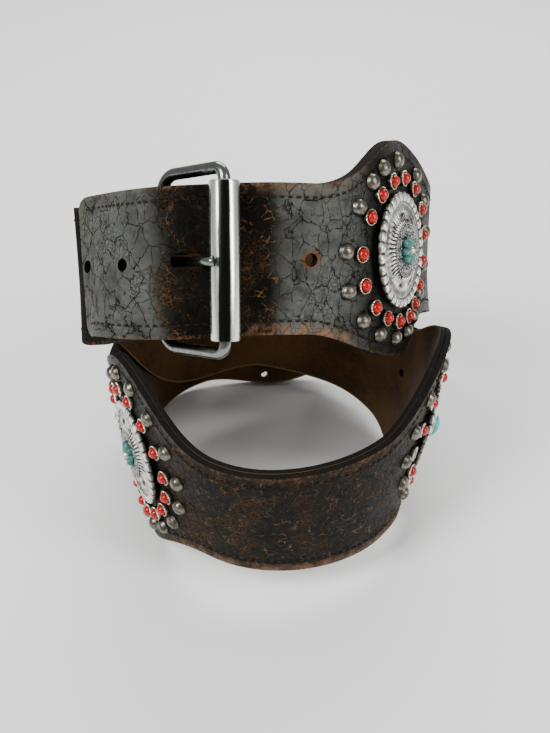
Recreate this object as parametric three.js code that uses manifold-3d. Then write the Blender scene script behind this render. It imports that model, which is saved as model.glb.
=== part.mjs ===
// Concho belt: a wide leather belt, wound into two turns and buckled, standing on its edge.
// Millimetres, +Z up. The buckle faces -Y, and the belt runs to the right from it.
import * as THREE from 'three';
import * as BufferGeometryUtils from 'three/addons/utils/BufferGeometryUtils.js';
import Module from 'manifold-3d';

const wasm = await Module();
wasm.setup();

// Driving dimensions
const GIRTH = 987;               // round the belt line, heel bar to heel bar
const STRAP_WIDTH = 60;
const LEATHER_THICK = 2.7;
const LINING_THICK = 2.2;
const GAP = 0.3;                 // between pieces that touch on the real belt
const SWELL_HALF_LENGTH = 54;
const SECTIONS = 92;             // facets round the belt line
const TIP_LENGTH = 36;           // strap end past the heel bar
const TIP_LIFT = 3;              // how far the strap end rides up on the buckle end
const TIP_STAND_OFF = 0.9;       // how far the strap end stands off the buckle end
const TIP_CORNER = 6;
const FOLD_LENGTH = 36;          // turned back behind the heel bar
const FOLD_SLACK = 3.1;          // between the heel bar and the fold round it
const FOLD_CLOSES = 14;          // over this length the fold closes on the strap

const HOLE_RADIUS = 2.7;
const HOLE_PITCH = 25;
const EXTRA_HOLE = 1.92;         // the worn extra hole, in hole pitches past the used one
const USED_HOLE_LENGTH = 13.5;   // the used hole has stretched into a slot
const USED_HOLE_HALF = 3.2;
const USED_HOLE_FROM_HEEL = 18;
const LOST_STUD_HOLE_RADIUS = 2.1;

const WIRE_RADIUS = 2.5;
const ROLLER_RADIUS = 6;
const ROLLER_LENGTH = 61.5;
const ROLLER_STAND_OFF = 1.8;    // the turned strap touches the roller only near one end
const FRAME_SIDE_GAP = 2.4;      // strap edge to the frame's side wire, at the heel
const FRAME_SPREAD = 0.03;       // how much wider the frame is at the roller, as a share
const BUCKLE_TURN = 2.5;         // degrees that the buckle is off square to the strap
const BUCKLE_LIFT = 1.6;         // how far the buckle sits above the strap's middle
const FRAME_HEEL_CORNER = 8.5;
const FRAME_ROLLER_CORNER = 5;
const HEEL_TO_ROLLER = 33.5;     // along the belt
const PRONG_RADIUS = 2.1;
const PRONG_SLOT_CLEARANCE = 0.9;
const PRONG_RISES_AT = 0.32;     // where the prong turns up, as a share of heel bar to roller
const PRONG_TIP_ANGLE = 30;      // where the prong meets the roller, degrees back from its top
const PRONG_OVERHANG = 4;        // how far the prong runs on over the roller

const CONCHO_RADIUS = 25.5;
const CONCHO_FLUTES = 16;
const FLUTE_DEPTH = 0.9;
const CONCHO_THICK = 1.6;
const CONCHO_CROWN = 3.4;        // height of the raised middle above the back
const CENTRE_STONE_RADIUS = 6;
const CENTRE_STONE_HEIGHT = 4.2;

const RING_COUNT = 16;
const STONE_RING_MARGIN = 5.5;   // rim of the concho to the ring of stones
const RING_SPACING = 7.5;        // ring of stones to ring of studs
const LOBE_MARGIN = 8.5;         // ring of studs to the lobe's edge
const STONE_RING_RADIUS = CONCHO_RADIUS + STONE_RING_MARGIN;
const STUD_RING_RADIUS = STONE_RING_RADIUS + RING_SPACING;
const SWELL_RISE = STUD_RING_RADIUS + LOBE_MARGIN - STRAP_WIDTH / 2; // each edge, at a concho
const STONE_RADIUS = 2.7;
const STONE_HEIGHT = 4.2;
const BEZEL_RADIUS = 3.5;
const BEZEL_HEIGHT = 1.7;
const STUD_RADIUS = 3.7;
const STUD_HEIGHT = 3;
const SEAT_SINK = 0.6;           // how deep riveted trim is let into the leather

// The belt line, a closed spline. across and back are shares of GIRTH, up is a share of
// STRAP_WIDTH, and lean is in degrees, positive where the upper edge tips inwards.
const ROUTE = [
  { across: -0.047, back: -0.044, up: 2.41, lean: 29.5 },// heel of the buckle, front left
  { across: -0.001, back: -0.048, up: 2.49, lean: 27 }, // right of the roller
  { across: 0.033, back: -0.035, up: 2.36, lean: 21 },
  { across: 0.050, back: -0.015, up: 2.23, lean: 15 },  // by the first concho
  { across: 0.061, back: 0.005, up: 2.08, lean: 14 },
  { across: 0.075, back: 0.040, up: 1.70, lean: 4 },
  { across: 0.061, back: 0.072, up: 1.24, lean: -6 },   // going down behind the inner turn
  { across: 0.023, back: 0.083, up: 0.92, lean: -17 },
  { across: -0.014, back: 0.077, up: 0.66, lean: -26 }, // past the second concho, far side
  { across: -0.055, back: 0.059, up: 0.55, lean: -14 },
  { across: -0.075, back: 0.026, up: 0.53, lean: -10 },
  { across: -0.075, back: -0.009, up: 0.58, lean: -10 },// by the third concho, left side
  { across: -0.059, back: -0.055, up: 0.80, lean: 0 },
  { across: -0.017, back: -0.093, up: 0.80, lean: -3 }, // lower front
  { across: 0.042, back: -0.078, up: 0.75, lean: 0 },
  { across: 0.067, back: -0.035, up: 0.79, lean: -9 },  // by the fourth concho, right side
  { across: 0.069, back: 0.005, up: 0.65, lean: -12 },
  { across: 0.043, back: 0.044, up: 0.71, lean: -9 },   // inner turn, far side
  { across: -0.009, back: 0.053, up: 0.95, lean: -19 },
  { across: -0.055, back: 0.041, up: 1.29, lean: -25 }, // by the fifth concho
  { across: -0.087, back: 0.013, up: 1.77, lean: -13 }, // rising over the outer turn
  { across: -0.085, back: -0.013, up: 1.99, lean: 16 },
  { across: -0.071, back: -0.027, up: 2.18, lean: 28 },
];

// The conchos: distance from the heel bar along the belt line, and how far each stands off the
// leather where it twists under the disc
const CONCHO_TABLE = [
  { name: 'a', fromHeel: 119.5, standOff: 0.6 },
  { name: 'b', fromHeel: 300, standOff: 0.3 },
  { name: 'c', fromHeel: 475, standOff: 0.3 },
  { name: 'd', fromHeel: 662, standOff: 0.8 },
  { name: 'e', fromHeel: 838, standOff: 0.9 },
];

const COLOURS = {
  leather: { color: 0x2a211c, roughness: 0.6, metalness: 0 },
  suede: { color: 0x5a3d1c, roughness: 0.95, metalness: 0 },
  steel: { color: 0x9a9a96, roughness: 0.35, metalness: 1 },
  silver: { color: 0xa9a79e, roughness: 0.4, metalness: 1 },
  pewter: { color: 0x6f6a5c, roughness: 0.5, metalness: 1 },
  coral: { color: 0xc03222, roughness: 0.3, metalness: 0 },
  turquoise: { color: 0x4fa79c, roughness: 0.4, metalness: 0 },
};

const UP = new THREE.Vector3(0, 0, 1);
const LAYERS = {
  leather: { low: GAP / 2, high: GAP / 2 + LEATHER_THICK },
  lining: { low: -GAP / 2 - LINING_THICK, high: -GAP / 2 },
};
const STRAP_HALF = STRAP_WIDTH / 2;
const TIP_RAISE = LAYERS.leather.high - LAYERS.lining.low + 2 * GAP;
const HEEL_DEPTH = FOLD_SLACK + WIRE_RADIUS - LAYERS.lining.low;
const FOLD_DEPTH = GAP - 2 * LAYERS.lining.low;
const ROLLER_RISE = LAYERS.leather.high + ROLLER_STAND_OFF + ROLLER_RADIUS;

// Smooth step from 0 to 1 over the range from..to
const ease = (x, from, to) => THREE.MathUtils.smoothstep(x, from, to);

// Closed cubic spline through the rows of the route
function closedSpline(rows) {
  const points = rows.map((row) => [
    row.across * GIRTH, row.back * GIRTH, row.up * STRAP_WIDTH, THREE.MathUtils.degToRad(row.lean),
  ]);
  const count = points.length;
  const controls = points.map((point) => [...point]);
  for (let pass = 0; pass < 40; pass += 1) {
    for (let i = 0; i < count; i += 1) {
      const before = controls[(i + count - 1) % count];
      const after = controls[(i + 1) % count];
      controls[i] = points[i].map((value, k) => (6 * value - before[k] - after[k]) / 4);
    }
  }
  return (turn) => {
    const cell = Math.floor(turn);
    const f = turn - cell;
    const weights = [(1 - f) ** 3, 3 * f ** 3 - 6 * f ** 2 + 4, 3 * (f + f ** 2 - f ** 3) + 1, f ** 3];
    return [0, 1, 2, 3].map((k) => weights.reduce((sum, weight, j) => {
      const control = controls[(cell - 1 + j + 2 * count) % count];
      return sum + (weight * control[k]) / 6;
    }, 0));
  };
}

// Belt line by distance: centre, direction along the belt, direction across it and outward normal
function beltLine() {
  const spline = closedSpline(ROUTE);
  const steps = ROUTE.length * 60;
  const position = (turn) => new THREE.Vector3(...spline(turn));
  const turns = [0];
  const distances = [0];
  for (let i = 1; i <= steps; i += 1) {
    const turn = (i * ROUTE.length) / steps;
    turns.push(turn);
    distances.push(distances[i - 1] + position(turn).distanceTo(position(turns[i - 1])));
  }
  const length = distances[steps];
  const turnAt = (distance) => {
    const laps = Math.floor(distance / length);
    const rest = distance - laps * length;
    let i = Math.min(steps - 1, Math.floor((rest / length) * steps));
    while (i > 0 && distances[i] > rest) i -= 1;
    while (i < steps - 1 && distances[i + 1] < rest) i += 1;
    const share = (rest - distances[i]) / (distances[i + 1] - distances[i]);
    return turns[i] + share * (turns[i + 1] - turns[i]) + laps * ROUTE.length;
  };
  const at = (distance) => {
    const turn = turnAt(distance);
    const values = spline(turn);
    const centre = new THREE.Vector3(values[0], values[1], values[2]);
    const along = position(turn + 0.01).sub(position(turn - 0.01)).normalize();
    const outward = new THREE.Vector3().crossVectors(along, UP).normalize();
    const upward = new THREE.Vector3().crossVectors(outward, along);
    const across = upward.clone().multiplyScalar(Math.cos(values[3]))
      .addScaledVector(outward, -Math.sin(values[3]));
    const normal = new THREE.Vector3().crossVectors(along, across);
    return { centre, along, across, normal };
  };
  return { at, length };
}

const line = beltLine();
const HEEL = -5;                                 // the heel bar's place on the belt line
const ROLLER = HEEL + HEEL_TO_ROLLER;
const USED_HOLE = HEEL + USED_HOLE_FROM_HEEL;
const CONCHOS = CONCHO_TABLE.map((row) => ({ ...row, place: HEEL + row.fromHeel }));

// Half the strap's width, with the swell at each concho
function halfWidth(place) {
  return CONCHOS.reduce((half, concho) => {
    const away = Math.abs(place - concho.place);
    const swell = 0.5 * (1 + Math.cos((Math.PI * away) / SWELL_HALF_LENGTH));
    return half + (away < SWELL_HALF_LENGTH ? SWELL_RISE * swell : 0);
  }, STRAP_HALF);
}

// How far the strap stands out from the belt line: the tip lies on the buckle end
function strapRaise(place) {
  const past = Math.max(0, HEEL - place) / TIP_LENGTH;
  return TIP_RAISE * (1 - ease(place, HEEL + HEEL_DEPTH, ROLLER)) + TIP_STAND_OFF * past;
}

// How far the strap end has moved towards its upper edge
function strapLift(place) {
  return TIP_LIFT * (Math.max(0, HEEL - place) / TIP_LENGTH) ** 2;
}

// A section of the strap at a place on the belt line
function strapSection(place) {
  const frame = line.at(place);
  const step = 0.5;
  const spot = (distance) => {
    const near = line.at(distance);
    return near.centre.addScaledVector(near.normal, strapRaise(distance))
      .addScaledVector(near.across, strapLift(distance));
  };
  const along = spot(place + step).sub(spot(place - step)).normalize();
  const normal = new THREE.Vector3().crossVectors(along, frame.across).normalize();
  return { centre: spot(place), across: frame.across, normal, half: halfWidth(place) };
}

// Sections of the strap from its tip, round the belt line and back to the heel bar. The facets
// of the tip lie on those of the buckle end.
function strapSections() {
  const step = line.length / SECTIONS;
  const start = HEEL - TIP_LENGTH;
  const places = [0, 0.15, 0.5, 1].map((share) => start + share * TIP_CORNER);
  const first = Math.ceil((start + TIP_CORNER + 1 - HEEL) / step);
  for (let i = first; i <= SECTIONS; i += 1) places.push(HEEL + i * step);
  return places.map((place) => {
    const section = strapSection(place);
    const left = Math.max(0, 1 - (place - start) / TIP_CORNER);
    section.half -= TIP_CORNER * (1 - Math.sqrt(1 - left ** 2));
    return section;
  });
}

// The buckle's own frame of reference, from its heel bar to its roller
function buckleFrame() {
  const heel = line.at(HEEL);
  const roller = line.at(ROLLER);
  const heelBar = heel.centre.clone().addScaledVector(heel.normal, -HEEL_DEPTH);
  const rollerBar = roller.centre.clone().addScaledVector(roller.normal, ROLLER_RISE);
  const across = roller.across.clone().add(heel.across).normalize()
    .addScaledVector(roller.along, Math.tan(THREE.MathUtils.degToRad(BUCKLE_TURN))).normalize();
  const reach = rollerBar.clone().sub(heelBar);
  reach.addScaledVector(across, -reach.dot(across));
  const length = reach.length();
  const along = reach.normalize();
  const outward = new THREE.Vector3().crossVectors(along, across);
  heelBar.addScaledVector(across, BUCKLE_LIFT);
  return { heelBar, along, across, outward, length };
}

// Sections round the heel bar and back behind the strap
function foldSections() {
  const end = line.length + HEEL;
  const heel = line.at(end);
  const { heelBar, across } = buckleFrame();
  const sections = [];
  const bends = 6;
  for (let i = 1; i <= bends; i += 1) {
    const angle = (i * Math.PI) / bends;
    const normal = heel.normal.clone().multiplyScalar(Math.cos(angle))
      .addScaledVector(heel.along, Math.sin(angle));
    const centre = heelBar.clone().addScaledVector(across, -BUCKLE_LIFT)
      .addScaledVector(normal, HEEL_DEPTH);
    sections.push({ centre, across: heel.across, normal, half: STRAP_HALF });
  }
  const step = line.length / SECTIONS;
  const folds = Math.round(FOLD_LENGTH / step);
  for (let i = 1; i <= folds; i += 1) {
    const back = i * step;
    const frame = line.at(end - back);
    const depth = 2 * HEEL_DEPTH + (FOLD_DEPTH - 2 * HEEL_DEPTH) * ease(back, 0, FOLD_CLOSES);
    sections.push({
      centre: frame.centre.addScaledVector(frame.normal, -depth),
      across: frame.across, normal: frame.normal.negate(), half: STRAP_HALF, turnedBack: true,
    });
  }
  return sections;
}

// Closed solid of one layer of the strap, from its sections
function layerSolid(sections, layer) {
  const vertices = [];
  const triangles = [];
  const corners = [[-1, layer.low], [1, layer.low], [1, layer.high], [-1, layer.high]];
  sections.forEach((section) => corners.forEach(([side, height]) => {
    const point = section.centre.clone()
      .addScaledVector(section.across, side * section.half)
      .addScaledVector(section.normal, height);
    vertices.push(point.x, point.y, point.z);
  }));
  const last = (sections.length - 1) * 4;
  for (let i = 0; i < sections.length - 1; i += 1) {
    const turnedBack = Boolean(sections[i + 1].turnedBack);
    for (let k = 0; k < 4; k += 1) {
      const a = i * 4 + k;
      const b = i * 4 + ((k + 1) % 4);
      if ((k === 2) !== turnedBack) triangles.push(a, b, b + 4, a, b + 4, a + 4);
      else triangles.push(a, b, a + 4, b, b + 4, a + 4);
    }
  }
  triangles.push(0, 2, 1, 0, 3, 2, last, last + 1, last + 2, last, last + 2, last + 3);
  return solidOf(vertices, triangles);
}

function solidOf(vertices, triangles) {
  return new wasm.Manifold(new wasm.Mesh({
    numProp: 3,
    vertProperties: new Float32Array(vertices),
    triVerts: new Uint32Array(triangles),
  }));
}

// Manifold solid of a three.js geometry, placed by a matrix
function solidOfGeometry(geometry, matrix = new THREE.Matrix4()) {
  const bare = geometry.clone().applyMatrix4(matrix);
  bare.deleteAttribute('normal');
  bare.deleteAttribute('uv');
  const merged = BufferGeometryUtils.mergeVertices(bare, 1e-4);
  const index = merged.index.array;
  const triangles = [];
  for (let i = 0; i < index.length; i += 3) {
    const [a, b, c] = [index[i], index[i + 1], index[i + 2]];
    if (a !== b && b !== c && c !== a) triangles.push(a, b, c);
  }
  return solidOf(merged.attributes.position.array, triangles);
}

function geometryOf(solid) {
  const mesh = solid.getMesh();
  const geometry = new THREE.BufferGeometry();
  geometry.setAttribute('position', new THREE.BufferAttribute(mesh.vertProperties.slice(), 3));
  geometry.setIndex(new THREE.BufferAttribute(mesh.triVerts.slice(), 1));
  return geometry;
}

const belt = new THREE.Group();

function addPiece(name, geometry, colour, matrix = new THREE.Matrix4()) {
  const mesh = new THREE.Mesh(geometry, new THREE.MeshStandardMaterial(COLOURS[colour]));
  mesh.name = name;
  matrix.decompose(mesh.position, mesh.quaternion, mesh.scale);
  belt.add(mesh);
  return mesh;
}

// Matrix that puts local X along the belt, Y across it and Z outwards, at a spot on the strap
function seat(place, side, height) {
  const section = strapSection(place);
  const along = new THREE.Vector3().crossVectors(section.across, section.normal);
  const spot = section.centre.clone()
    .addScaledVector(section.across, side)
    .addScaledVector(section.normal, height);
  return new THREE.Matrix4().makeBasis(along, section.across, section.normal).setPosition(spot);
}

// Solid of revolution about local Z, from a profile that starts and ends on the axis
function turned(profile, sides) {
  const points = profile.map(([radius, height]) => new THREE.Vector2(radius, height));
  return new THREE.LatheGeometry(points, sides).rotateX(Math.PI / 2);
}

// Domed stud, and a domed stone in its bezel, with a given number of sides
const studShape = (sides) => turned([
  [0, 0], [STUD_RADIUS, 0], [STUD_RADIUS * 0.74, STUD_HEIGHT * 0.76], [0, STUD_HEIGHT],
], sides);
const stoneShape = (sides) => turned([
  [0, 0], [BEZEL_RADIUS, 0], [BEZEL_RADIUS * 0.8, STONE_HEIGHT * 0.7], [0, STONE_HEIGHT],
], sides);
const EMPTY_BEZEL = turned([
  [0, 0], [BEZEL_RADIUS, 0], [BEZEL_RADIUS, BEZEL_HEIGHT],
  [STONE_RADIUS, BEZEL_HEIGHT], [STONE_RADIUS, SEAT_SINK + 0.3], [0, SEAT_SINK + 0.3],
], 6);
const CENTRE_STONE = turned([
  [0, 0], [CENTRE_STONE_RADIUS, 0], [CENTRE_STONE_RADIUS, CENTRE_STONE_HEIGHT * 0.35],
  [CENTRE_STONE_RADIUS * 0.7, CENTRE_STONE_HEIGHT * 0.82], [0, CENTRE_STONE_HEIGHT],
], 10);

// Fluted silver disc: a scalloped rim round a raised middle
function conchoGeometry() {
  const around = 2 * CONCHO_FLUTES;
  const rings = [
    { radius: CONCHO_RADIUS, height: 0, wave: FLUTE_DEPTH },
    { radius: CONCHO_RADIUS, height: CONCHO_THICK, wave: FLUTE_DEPTH },
    { radius: CONCHO_RADIUS * 0.72, height: CONCHO_CROWN, wave: 0 },
  ];
  const vertices = [0, 0, 0];
  rings.forEach((ring) => {
    for (let i = 0; i < around; i += 1) {
      const angle = (i * 2 * Math.PI) / around;
      const radius = ring.radius - (i % 2) * ring.wave;
      vertices.push(radius * Math.cos(angle), radius * Math.sin(angle), ring.height);
    }
  });
  const top = vertices.length / 3;
  vertices.push(0, 0, CONCHO_CROWN);
  const triangles = [];
  const last = 1 + (rings.length - 1) * around;
  for (let i = 0; i < around; i += 1) {
    const next = (i + 1) % around;
    triangles.push(0, 1 + next, 1 + i, top, last + i, last + next);
    for (let ring = 0; ring < rings.length - 1; ring += 1) {
      const low = 1 + ring * around;
      const high = low + around;
      triangles.push(low + i, low + next, high + i, low + next, high + next, high + i);
    }
  }
  return geometryOf(solidOf(vertices, triangles));
}

// Places round a concho, as distance along the belt and across it. shifts holds the degrees by
// which hand-set trim is off its even place, by ring number.
function ringPlaces(radius, shifts = {}) {
  return Array.from({ length: RING_COUNT }, (_, i) => {
    const angle = ((i + 0.5) * 2 * Math.PI) / RING_COUNT + THREE.MathUtils.degToRad(shifts[i] ?? 0);
    return { along: radius * Math.cos(angle), across: radius * Math.sin(angle) };
  });
}

// What is missing on the worn belt, by concho and ring number
const LOST_STONES = { d: [7, 9] };
const LOST_STUDS = { b: [13], d: [0] };
const LOST_STUD_OFFSETS = { b: { along: -2.1, across: -5.2 } };   // its hole is nearer the edge

// Trim of the first panel that is off its even place, in degrees by ring number
const STONE_SHIFTS = { 7: 7, 8: 9, 9: 8, 10: 3 };
const STUD_SHIFTS = { 3: 8, 4: 8, 5: 2, 7: 6, 8: 8, 9: 8, 10: 3 };

function cutter(place, side, radius) {
  const depth = 3 * (LEATHER_THICK + LINING_THICK);
  const shape = new THREE.CylinderGeometry(radius, radius, depth, 10).rotateX(Math.PI / 2);
  return solidOfGeometry(shape, seat(place, side, 0));
}

// Long hole for the prong, rounded at both ends
function usedHoleCutter() {
  const half = USED_HOLE_HALF;
  const run = USED_HOLE_LENGTH / 2 - half;
  const shape = new THREE.Shape();
  shape.absarc(run, 0, half, -Math.PI / 2, Math.PI / 2, false);
  shape.absarc(-run, 0, half, Math.PI / 2, 1.5 * Math.PI, false);
  const depth = 2.4 * (LEATHER_THICK + LINING_THICK);
  const solid = new THREE.ExtrudeGeometry(shape, {
    depth, bevelEnabled: false, curveSegments: 4,
  }).translate(0, 0, -depth / 2);
  const { heelBar, across } = buckleFrame();
  const section = strapSection(USED_HOLE);
  const side = across.clone().addScaledVector(section.normal, -across.dot(section.normal)).normalize();
  const along = new THREE.Vector3().crossVectors(side, section.normal);
  const offset = heelBar.clone().sub(section.centre).dot(across);
  const centre = section.centre.clone().addScaledVector(side, offset);
  const matrix = new THREE.Matrix4().makeBasis(along, side, section.normal).setPosition(centre);
  return solidOfGeometry(solid, matrix);
}

// Slot in the fold, which the prong's eye turns in
function foldSlotCutter() {
  const wide = 2 * (PRONG_RADIUS + PRONG_SLOT_CLEARANCE);
  const reach = HEEL_DEPTH + LAYERS.leather.high + 1;
  const frame = buckleFrame();
  const shape = new THREE.BoxGeometry(2 * reach, wide, 2 * reach);
  const matrix = new THREE.Matrix4().makeBasis(frame.along, frame.across, frame.outward)
    .setPosition(frame.heelBar);
  return solidOfGeometry(shape, matrix);
}

// One layer of the whole strap, with every hole cut
function strapLayer(layer) {
  let whole = layerSolid([...strapSections(), ...foldSections()], layer);
  [USED_HOLE - HOLE_PITCH, USED_HOLE - 2 * HOLE_PITCH, USED_HOLE + EXTRA_HOLE * HOLE_PITCH]
    .forEach((place) => {
      whole = whole.subtract(cutter(place, 0, HOLE_RADIUS));
    });
  whole = whole.subtract(usedHoleCutter()).subtract(foldSlotCutter());
  const studs = ringPlaces(STUD_RING_RADIUS);
  CONCHOS.forEach((concho) => studs.forEach((spot, i) => {
    if (!(LOST_STUDS[concho.name] ?? []).includes(i)) return;
    const off = LOST_STUD_OFFSETS[concho.name] ?? { along: 0, across: 0 };
    whole = whole.subtract(cutter(concho.place + spot.along + off.along,
      spot.across + off.across, LOST_STUD_HOLE_RADIUS));
  }));
  return whole;
}

// Stones and studs of every panel but the first are let into the leather as one body with it
function leatherWithTrim() {
  let leather = strapLayer(LAYERS.leather);
  const face = LAYERS.leather.high - SEAT_SINK;
  CONCHOS.slice(1).forEach((concho) => {
    ringPlaces(STONE_RING_RADIUS).forEach((spot, i) => {
      const lost = (LOST_STONES[concho.name] ?? []).includes(i);
      const shape = lost ? EMPTY_BEZEL : stoneShape(6);
      leather = leather.add(
        solidOfGeometry(shape, seat(concho.place + spot.along, spot.across, face)),
      );
    });
    ringPlaces(STUD_RING_RADIUS).forEach((spot, i) => {
      if ((LOST_STUDS[concho.name] ?? []).includes(i)) return;
      leather = leather.add(
        solidOfGeometry(studShape(6), seat(concho.place + spot.along, spot.across, face)),
      );
    });
  });
  return leather;
}

function addStrap() {
  addPiece('belt_leather', geometryOf(leatherWithTrim()), 'leather');
  addPiece('suede_lining', geometryOf(strapLayer(LAYERS.lining)), 'suede');
}

// The first panel's stones and studs are pieces of their own
function addFirstPanelTrim() {
  const first = CONCHOS[0];
  const face = LAYERS.leather.high + GAP;
  ringPlaces(STONE_RING_RADIUS, STONE_SHIFTS).forEach((spot, i) => {
    const solid = solidOfGeometry(stoneShape(10));
    addPiece(`coral_${i + 1}`, geometryOf(solid), 'coral',
      seat(first.place + spot.along, spot.across, face));
  });
  ringPlaces(STUD_RING_RADIUS, STUD_SHIFTS).forEach((spot, i) => {
    const solid = solidOfGeometry(studShape(10));
    addPiece(`stud_${i + 1}`, geometryOf(solid), 'pewter',
      seat(first.place + spot.along, spot.across, face));
  });
}

function addConchos() {
  CONCHOS.forEach((concho) => {
    const face = LAYERS.leather.high + concho.standOff;
    addPiece(`concho_${concho.name}`, conchoGeometry(), 'silver', seat(concho.place, 0, face));
    addPiece(`centre_stone_${concho.name}`, geometryOf(solidOfGeometry(CENTRE_STONE)), 'turquoise',
      seat(concho.place, 0, face + CONCHO_CROWN + GAP));
  });
}

// Stations of the wire loop, as points and directions in the plane
function loopStations(length, half) {
  const stations = [];
  const heel = FRAME_HEEL_CORNER;
  const roller = FRAME_ROLLER_CORNER;
  const centres = [
    [length - roller, half - roller, 0, roller], [heel, half - heel, 90, heel],
    [heel, -half + heel, 180, heel], [length - roller, -half + roller, 270, roller],
  ];
  centres.forEach(([x, y, from, corner]) => {
    for (let i = 0; i <= 3; i += 1) {
      const angle = THREE.MathUtils.degToRad(from + 30 * i);
      stations.push({
        x: x + corner * Math.cos(angle), y: y + corner * Math.sin(angle),
        outX: Math.cos(angle), outY: Math.sin(angle),
      });
    }
  });
  return stations;
}

// Closed wire ring with a round section, in local X and Y
function wireRing(length, half, radius, sides) {
  const stations = loopStations(length, half);
  const vertices = [];
  const triangles = [];
  stations.forEach((station) => {
    const spread = 1 + (FRAME_SPREAD * station.x) / length;
    for (let k = 0; k < sides; k += 1) {
      const angle = (2 * Math.PI * k) / sides;
      const out = radius * Math.cos(angle);
      vertices.push(station.x + out * station.outX, station.y * spread + out * station.outY,
        radius * Math.sin(angle));
    }
  });
  const count = stations.length;
  for (let i = 0; i < count; i += 1) {
    for (let k = 0; k < sides; k += 1) {
      const a = i * sides + k;
      const b = i * sides + ((k + 1) % sides);
      const c = ((i + 1) % count) * sides + k;
      const d = ((i + 1) % count) * sides + ((k + 1) % sides);
      triangles.push(a, c, b, b, c, d);
    }
  }
  return solidOf(vertices, triangles);
}

function addBuckle() {
  const frame = buckleFrame();
  const matrix = new THREE.Matrix4().makeBasis(frame.along, frame.across, frame.outward)
    .setPosition(frame.heelBar);
  const half = STRAP_HALF + FRAME_SIDE_GAP + WIRE_RADIUS;
  addPiece('buckle_frame', geometryOf(wireRing(frame.length, half, WIRE_RADIUS, 8)),
    'steel', matrix);

  const bore = WIRE_RADIUS + GAP;
  const tube = new THREE.LatheGeometry([
    [bore, -ROLLER_LENGTH / 2], [ROLLER_RADIUS, -ROLLER_LENGTH / 2],
    [ROLLER_RADIUS, ROLLER_LENGTH / 2], [bore, ROLLER_LENGTH / 2], [bore, -ROLLER_LENGTH / 2],
  ].map(([radius, height]) => new THREE.Vector2(radius, height)), 20);
  addPiece('buckle_roller', geometryOf(solidOfGeometry(tube)), 'steel',
    matrix.clone().multiply(new THREE.Matrix4().makeTranslation(frame.length, 0, 0)));

  addPiece('buckle_prong', geometryOf(prongSolid(frame.length)), 'steel', matrix);
}

// Prong: an eye round the heel bar and a shank that comes up through the used hole to the roller
function prongSolid(length) {
  const eye = WIRE_RADIUS + GAP + PRONG_RADIUS;
  const rest = ROLLER_RADIUS + GAP + PRONG_RADIUS;
  const points = [];
  for (let i = 9; i >= 0; i -= 1) {
    const angle = (i / 9) * 1.62 * Math.PI;
    points.push(new THREE.Vector3(eye * Math.cos(angle), 0, eye * Math.sin(angle)));
  }
  const lean = THREE.MathUtils.degToRad(PRONG_TIP_ANGLE);
  const low = new THREE.Vector3(PRONG_RISES_AT * length, 0, 0);
  const meets = new THREE.Vector3(length - rest * Math.sin(lean), 0, rest * Math.cos(lean));
  const ahead = meets.clone().sub(low).normalize();
  points.push(low, meets.addScaledVector(ahead, PRONG_OVERHANG));
  return sweptWire(points, PRONG_RADIUS, 8);
}

// Solid wire through points that lie in local X and Z
function sweptWire(points, radius, sides) {
  const vertices = [];
  const triangles = [];
  points.forEach((point, i) => {
    const before = points[Math.max(0, i - 1)];
    const after = points[Math.min(points.length - 1, i + 1)];
    const along = after.clone().sub(before).normalize();
    const side = new THREE.Vector3(0, 1, 0);
    const normal = new THREE.Vector3().crossVectors(along, side);
    for (let k = 0; k < sides; k += 1) {
      const angle = (2 * Math.PI * k) / sides;
      const vertex = point.clone().addScaledVector(side, radius * Math.cos(angle))
        .addScaledVector(normal, radius * Math.sin(angle));
      vertices.push(vertex.x, vertex.y, vertex.z);
    }
  });
  for (let i = 0; i < points.length - 1; i += 1) {
    for (let k = 0; k < sides; k += 1) {
      const a = i * sides + k;
      const b = i * sides + ((k + 1) % sides);
      triangles.push(a, b, a + sides, b, b + sides, a + sides);
    }
  }
  const last = (points.length - 1) * sides;
  for (let k = 1; k < sides - 1; k += 1) {
    triangles.push(0, k + 1, k, last, last + k, last + k + 1);
  }
  return solidOf(vertices, triangles);
}

addStrap();
addConchos();
addFirstPanelTrim();
addBuckle();

// The origin is under the middle of the belt, on the surface it stands on
const box = new THREE.Box3().setFromObject(belt, true);
const middle = box.getCenter(new THREE.Vector3());
belt.position.set(-middle.x, -middle.y, -box.min.z);

export default belt;
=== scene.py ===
"""Concho belt: a wide cracked leather belt, wound in two turns and buckled, standing on its edge.

Sizes are in millimetres where a name says so or a class says so, and meshes are made in metres.
"""

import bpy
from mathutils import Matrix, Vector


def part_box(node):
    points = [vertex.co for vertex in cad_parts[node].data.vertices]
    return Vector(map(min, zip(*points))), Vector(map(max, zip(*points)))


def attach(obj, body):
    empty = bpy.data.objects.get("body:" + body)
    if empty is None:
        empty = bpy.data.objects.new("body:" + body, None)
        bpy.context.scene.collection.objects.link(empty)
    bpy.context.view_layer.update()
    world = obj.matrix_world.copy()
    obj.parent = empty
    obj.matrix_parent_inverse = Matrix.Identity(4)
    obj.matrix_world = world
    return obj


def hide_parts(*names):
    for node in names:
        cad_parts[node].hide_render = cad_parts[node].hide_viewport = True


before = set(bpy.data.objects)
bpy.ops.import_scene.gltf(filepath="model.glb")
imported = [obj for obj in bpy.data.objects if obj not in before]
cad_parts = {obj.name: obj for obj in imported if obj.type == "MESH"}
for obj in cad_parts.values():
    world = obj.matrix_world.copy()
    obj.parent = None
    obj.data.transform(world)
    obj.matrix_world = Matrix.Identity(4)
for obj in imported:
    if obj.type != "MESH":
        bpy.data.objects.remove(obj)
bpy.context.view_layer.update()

import logging
import math
from dataclasses import dataclass, field
from enum import Enum
from typing import Callable, Iterable, Sequence

import bpy
import numpy as np
from mathutils import Matrix, Vector

log = logging.getLogger("concho_belt")
MM = 0.001

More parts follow.
